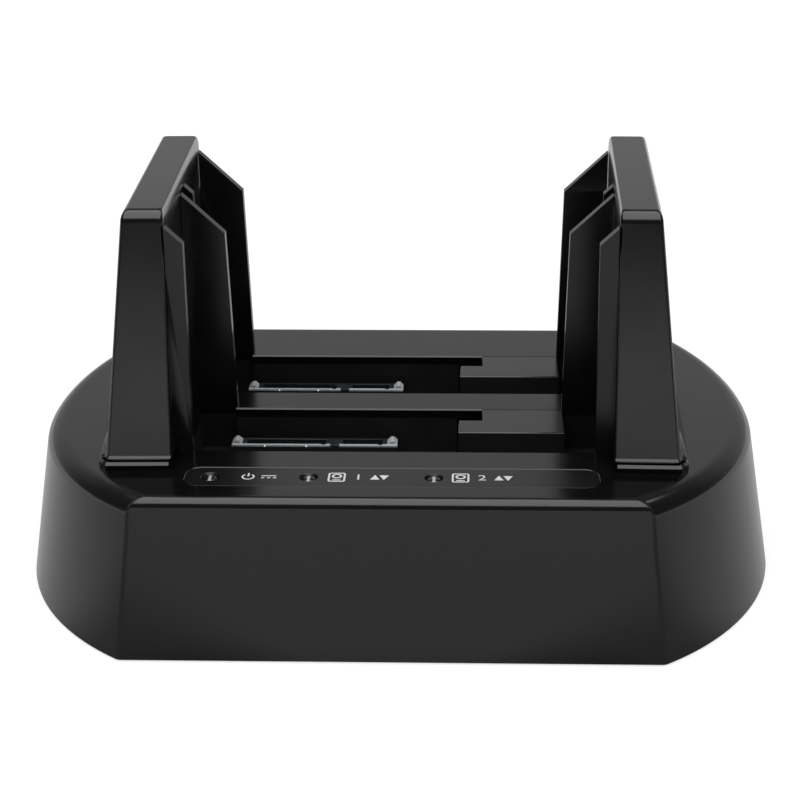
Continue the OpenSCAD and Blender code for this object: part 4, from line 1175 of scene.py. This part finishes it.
studioLook = {
    "floorSize": 6.0, "floorColour": (0.32, 0.32, 0.32), "floorTint": 0.99, "floorCloud": 400,
    "floorRough": 0.9, "floorGloss": 0.1, "floorLift": (0.72, 1.0), "liftRun": (0.2, 0.9),
    "underRun": (0.045, 0.06), "sectorRoot": 0.02,
    "shineLift": (0.29, 0.86), "shineRun": (0.22, 0.75), "shineSide": (0.3, 0.6), "shineFront": (0.9, 1.7),
    "roomGlow": 0.12, "backGlow": 0.36, "backFrom": (0.15, 0.75), "backTop": (0.5, 0.72),
    "topSize": (1.3, 1.4), "topPlace": (0.0, -0.27, 0.95), "topPower": 16.5}


def directRays(tree):
    # what the camera sees, also through clear pieces, and what reflections see
    path = tree.nodes.new("ShaderNodeLightPath").outputs
    return mathOf(tree, "MAXIMUM", path["Is Camera Ray"], path["Is Transmission Ray"]), path["Is Glossy Ray"]


def makeFloor():
    look = studioLook
    half = look["floorSize"] / 2
    bm = bmesh.new()
    corners = [bm.verts.new((x * half, y * half, 0)) for x, y in ((-1, -1), (1, -1), (1, 1), (-1, 1))]
    bm.faces.new(corners)
    floor = objectFrom("floor", bm)
    material, tree, shader, coords = startMaterial("paleFloor")
    cloud = noiseOf(tree, coords, look["floorCloud"])
    tint = tuple(c * look["floorTint"] for c in look["floorColour"])
    tree.links.new(mixOf(tree, cloud, look["floorColour"], tint), shader.inputs["Base Color"])
    shader.inputs["Roughness"].default_value = look["floorRough"]
    shader.inputs["Specular IOR Level"].default_value = look["floorGloss"]
    split = splitOf(tree, coords)
    # the camera sees the floor run out into white away from the object
    away = tree.nodes.new("ShaderNodeVectorMath")
    away.operation = "LENGTH"
    tree.links.new(coords, away.inputs[0])
    seen = rampOf(tree, away.outputs["Value"], look["liftRun"], *look["floorLift"])
    seen = mathOf(tree, "MULTIPLY", seen, rampOf(tree, away.outputs["Value"], look["underRun"], 0, 1))
    # reflections see it lit in front and to the sides, and darker towards the front corners
    aside = mathOf(tree, "ABSOLUTE", split["X"], 0.0)
    ahead = mathOf(tree, "MULTIPLY", split["Y"], -1.0)
    ratio = mathOf(tree, "DIVIDE", ahead, mathOf(tree, "ADD", aside, look["sectorRoot"]))
    sideways = rampOf(tree, ratio, look["shineSide"], 1, 0)
    sector = mathOf(tree, "MAXIMUM", sideways, rampOf(tree, ratio, look["shineFront"], 0, 1))
    reach = mathOf(tree, "MAXIMUM", aside, mathOf(tree, "ABSOLUTE", ahead, 0.0))
    mirrored = mathOf(tree, "MULTIPLY", sector, rampOf(tree, reach, look["shineRun"], *look["shineLift"]))
    direct, glossy = directRays(tree)
    lift = mathOf(tree, "ADD", mathOf(tree, "MULTIPLY", direct, seen),
                  mathOf(tree, "MULTIPLY", glossy, mirrored))
    shader.inputs["Emission Color"].default_value = (1, 1, 1, 1)
    tree.links.new(lift, shader.inputs["Emission Strength"])
    # from below the floor is clear, so that the underside shows
    clear = tree.nodes.new("ShaderNodeBsdfTransparent")
    choice = tree.nodes.new("ShaderNodeMixShader")
    tree.links.new(tree.nodes.new("ShaderNodeNewGeometry").outputs["Backfacing"], choice.inputs["Fac"])
    tree.links.new(shader.outputs["BSDF"], choice.inputs[1])
    tree.links.new(clear.outputs["BSDF"], choice.inputs[2])
    tree.links.new(choice.outputs["Shader"], tree.nodes["Material Output"].inputs["Surface"])
    floor.data.materials.append(material)


def makeWorld():
    # white to direct rays, and for the rest a dim room with a bright low back
    look = studioLook
    world = bpy.data.worlds.new("studio")
    bpy.context.scene.world = world
    world.use_nodes = True
    tree = world.node_tree
    background = tree.nodes["Background"]
    coords = tree.nodes.new("ShaderNodeTexCoord")
    split = splitOf(tree, coords.outputs["Generated"])
    back = rampOf(tree, split["Y"], look["backFrom"], 0, look["backGlow"])
    low = rampOf(tree, split["Z"], look["backTop"], 1, 0)
    glow = mathOf(tree, "ADD", mathOf(tree, "MULTIPLY", back, low), look["roomGlow"])
    pick = tree.nodes.new("ShaderNodeMix")
    direct, _ = directRays(tree)
    tree.links.new(direct, pick.inputs["Factor"])
    tree.links.new(glow, pick.inputs["A"])
    pick.inputs["B"].default_value = 1.0
    background.inputs["Color"].default_value = (1, 1, 1, 1)
    tree.links.new(pick.outputs["Result"], background.inputs["Strength"])


def makeLamp(name, place, size, power):
    lamp = bpy.data.lights.new(name, "AREA")
    lamp.shape = "RECTANGLE"
    lamp.size, lamp.size_y = size
    lamp.energy = power
    obj = bpy.data.objects.new(name, lamp)
    obj.location = place
    bpy.context.scene.collection.objects.link(obj)


makeFloor()
makeWorld()
makeLamp("topSoftbox", studioLook["topPlace"], studioLook["topSize"], studioLook["topPower"])

cameraLook = {"place": (21.06, -445.8, 229.98), "pitch": 22.78, "yaw": -1.85, "roll": 0.42,
              "focalPixels": 1847.38, "offsetPixels": (24.57, 0.34), "framePixels": 800, "sensor": 36.0}


def makeCamera():
    look = cameraLook
    pitch, yaw, roll = (math.radians(look[key]) for key in ("pitch", "yaw", "roll"))
    forward = Vector((math.cos(pitch) * math.sin(yaw), math.cos(pitch) * math.cos(yaw), -math.sin(pitch)))
    right = Vector((math.cos(yaw), -math.sin(yaw), 0))
    up = Vector((math.sin(pitch) * math.sin(yaw), math.sin(pitch) * math.cos(yaw), math.cos(pitch)))
    across = right * math.cos(roll) - up * math.sin(roll)
    upward = right * math.sin(roll) + up * math.cos(roll)
    lens = bpy.data.cameras.new("photoCamera")
    lens.sensor_width = look["sensor"]
    lens.lens = look["focalPixels"] / look["framePixels"] * look["sensor"]
    lens.shift_x = -look["offsetPixels"][0] / look["framePixels"]
    lens.shift_y = look["offsetPixels"][1] / look["framePixels"]
    camera = bpy.data.objects.new("photoCamera", lens)
    turn = Matrix((across, upward, -forward)).transposed().to_4x4()
    camera.matrix_world = Matrix.Translation(Vector(look["place"]) * mm) @ turn
    bpy.context.scene.collection.objects.link(camera)
    bpy.context.scene.camera = camera


makeCamera()
bpy.context.scene.view_settings.view_transform = "Standard"
print("studio and camera set")
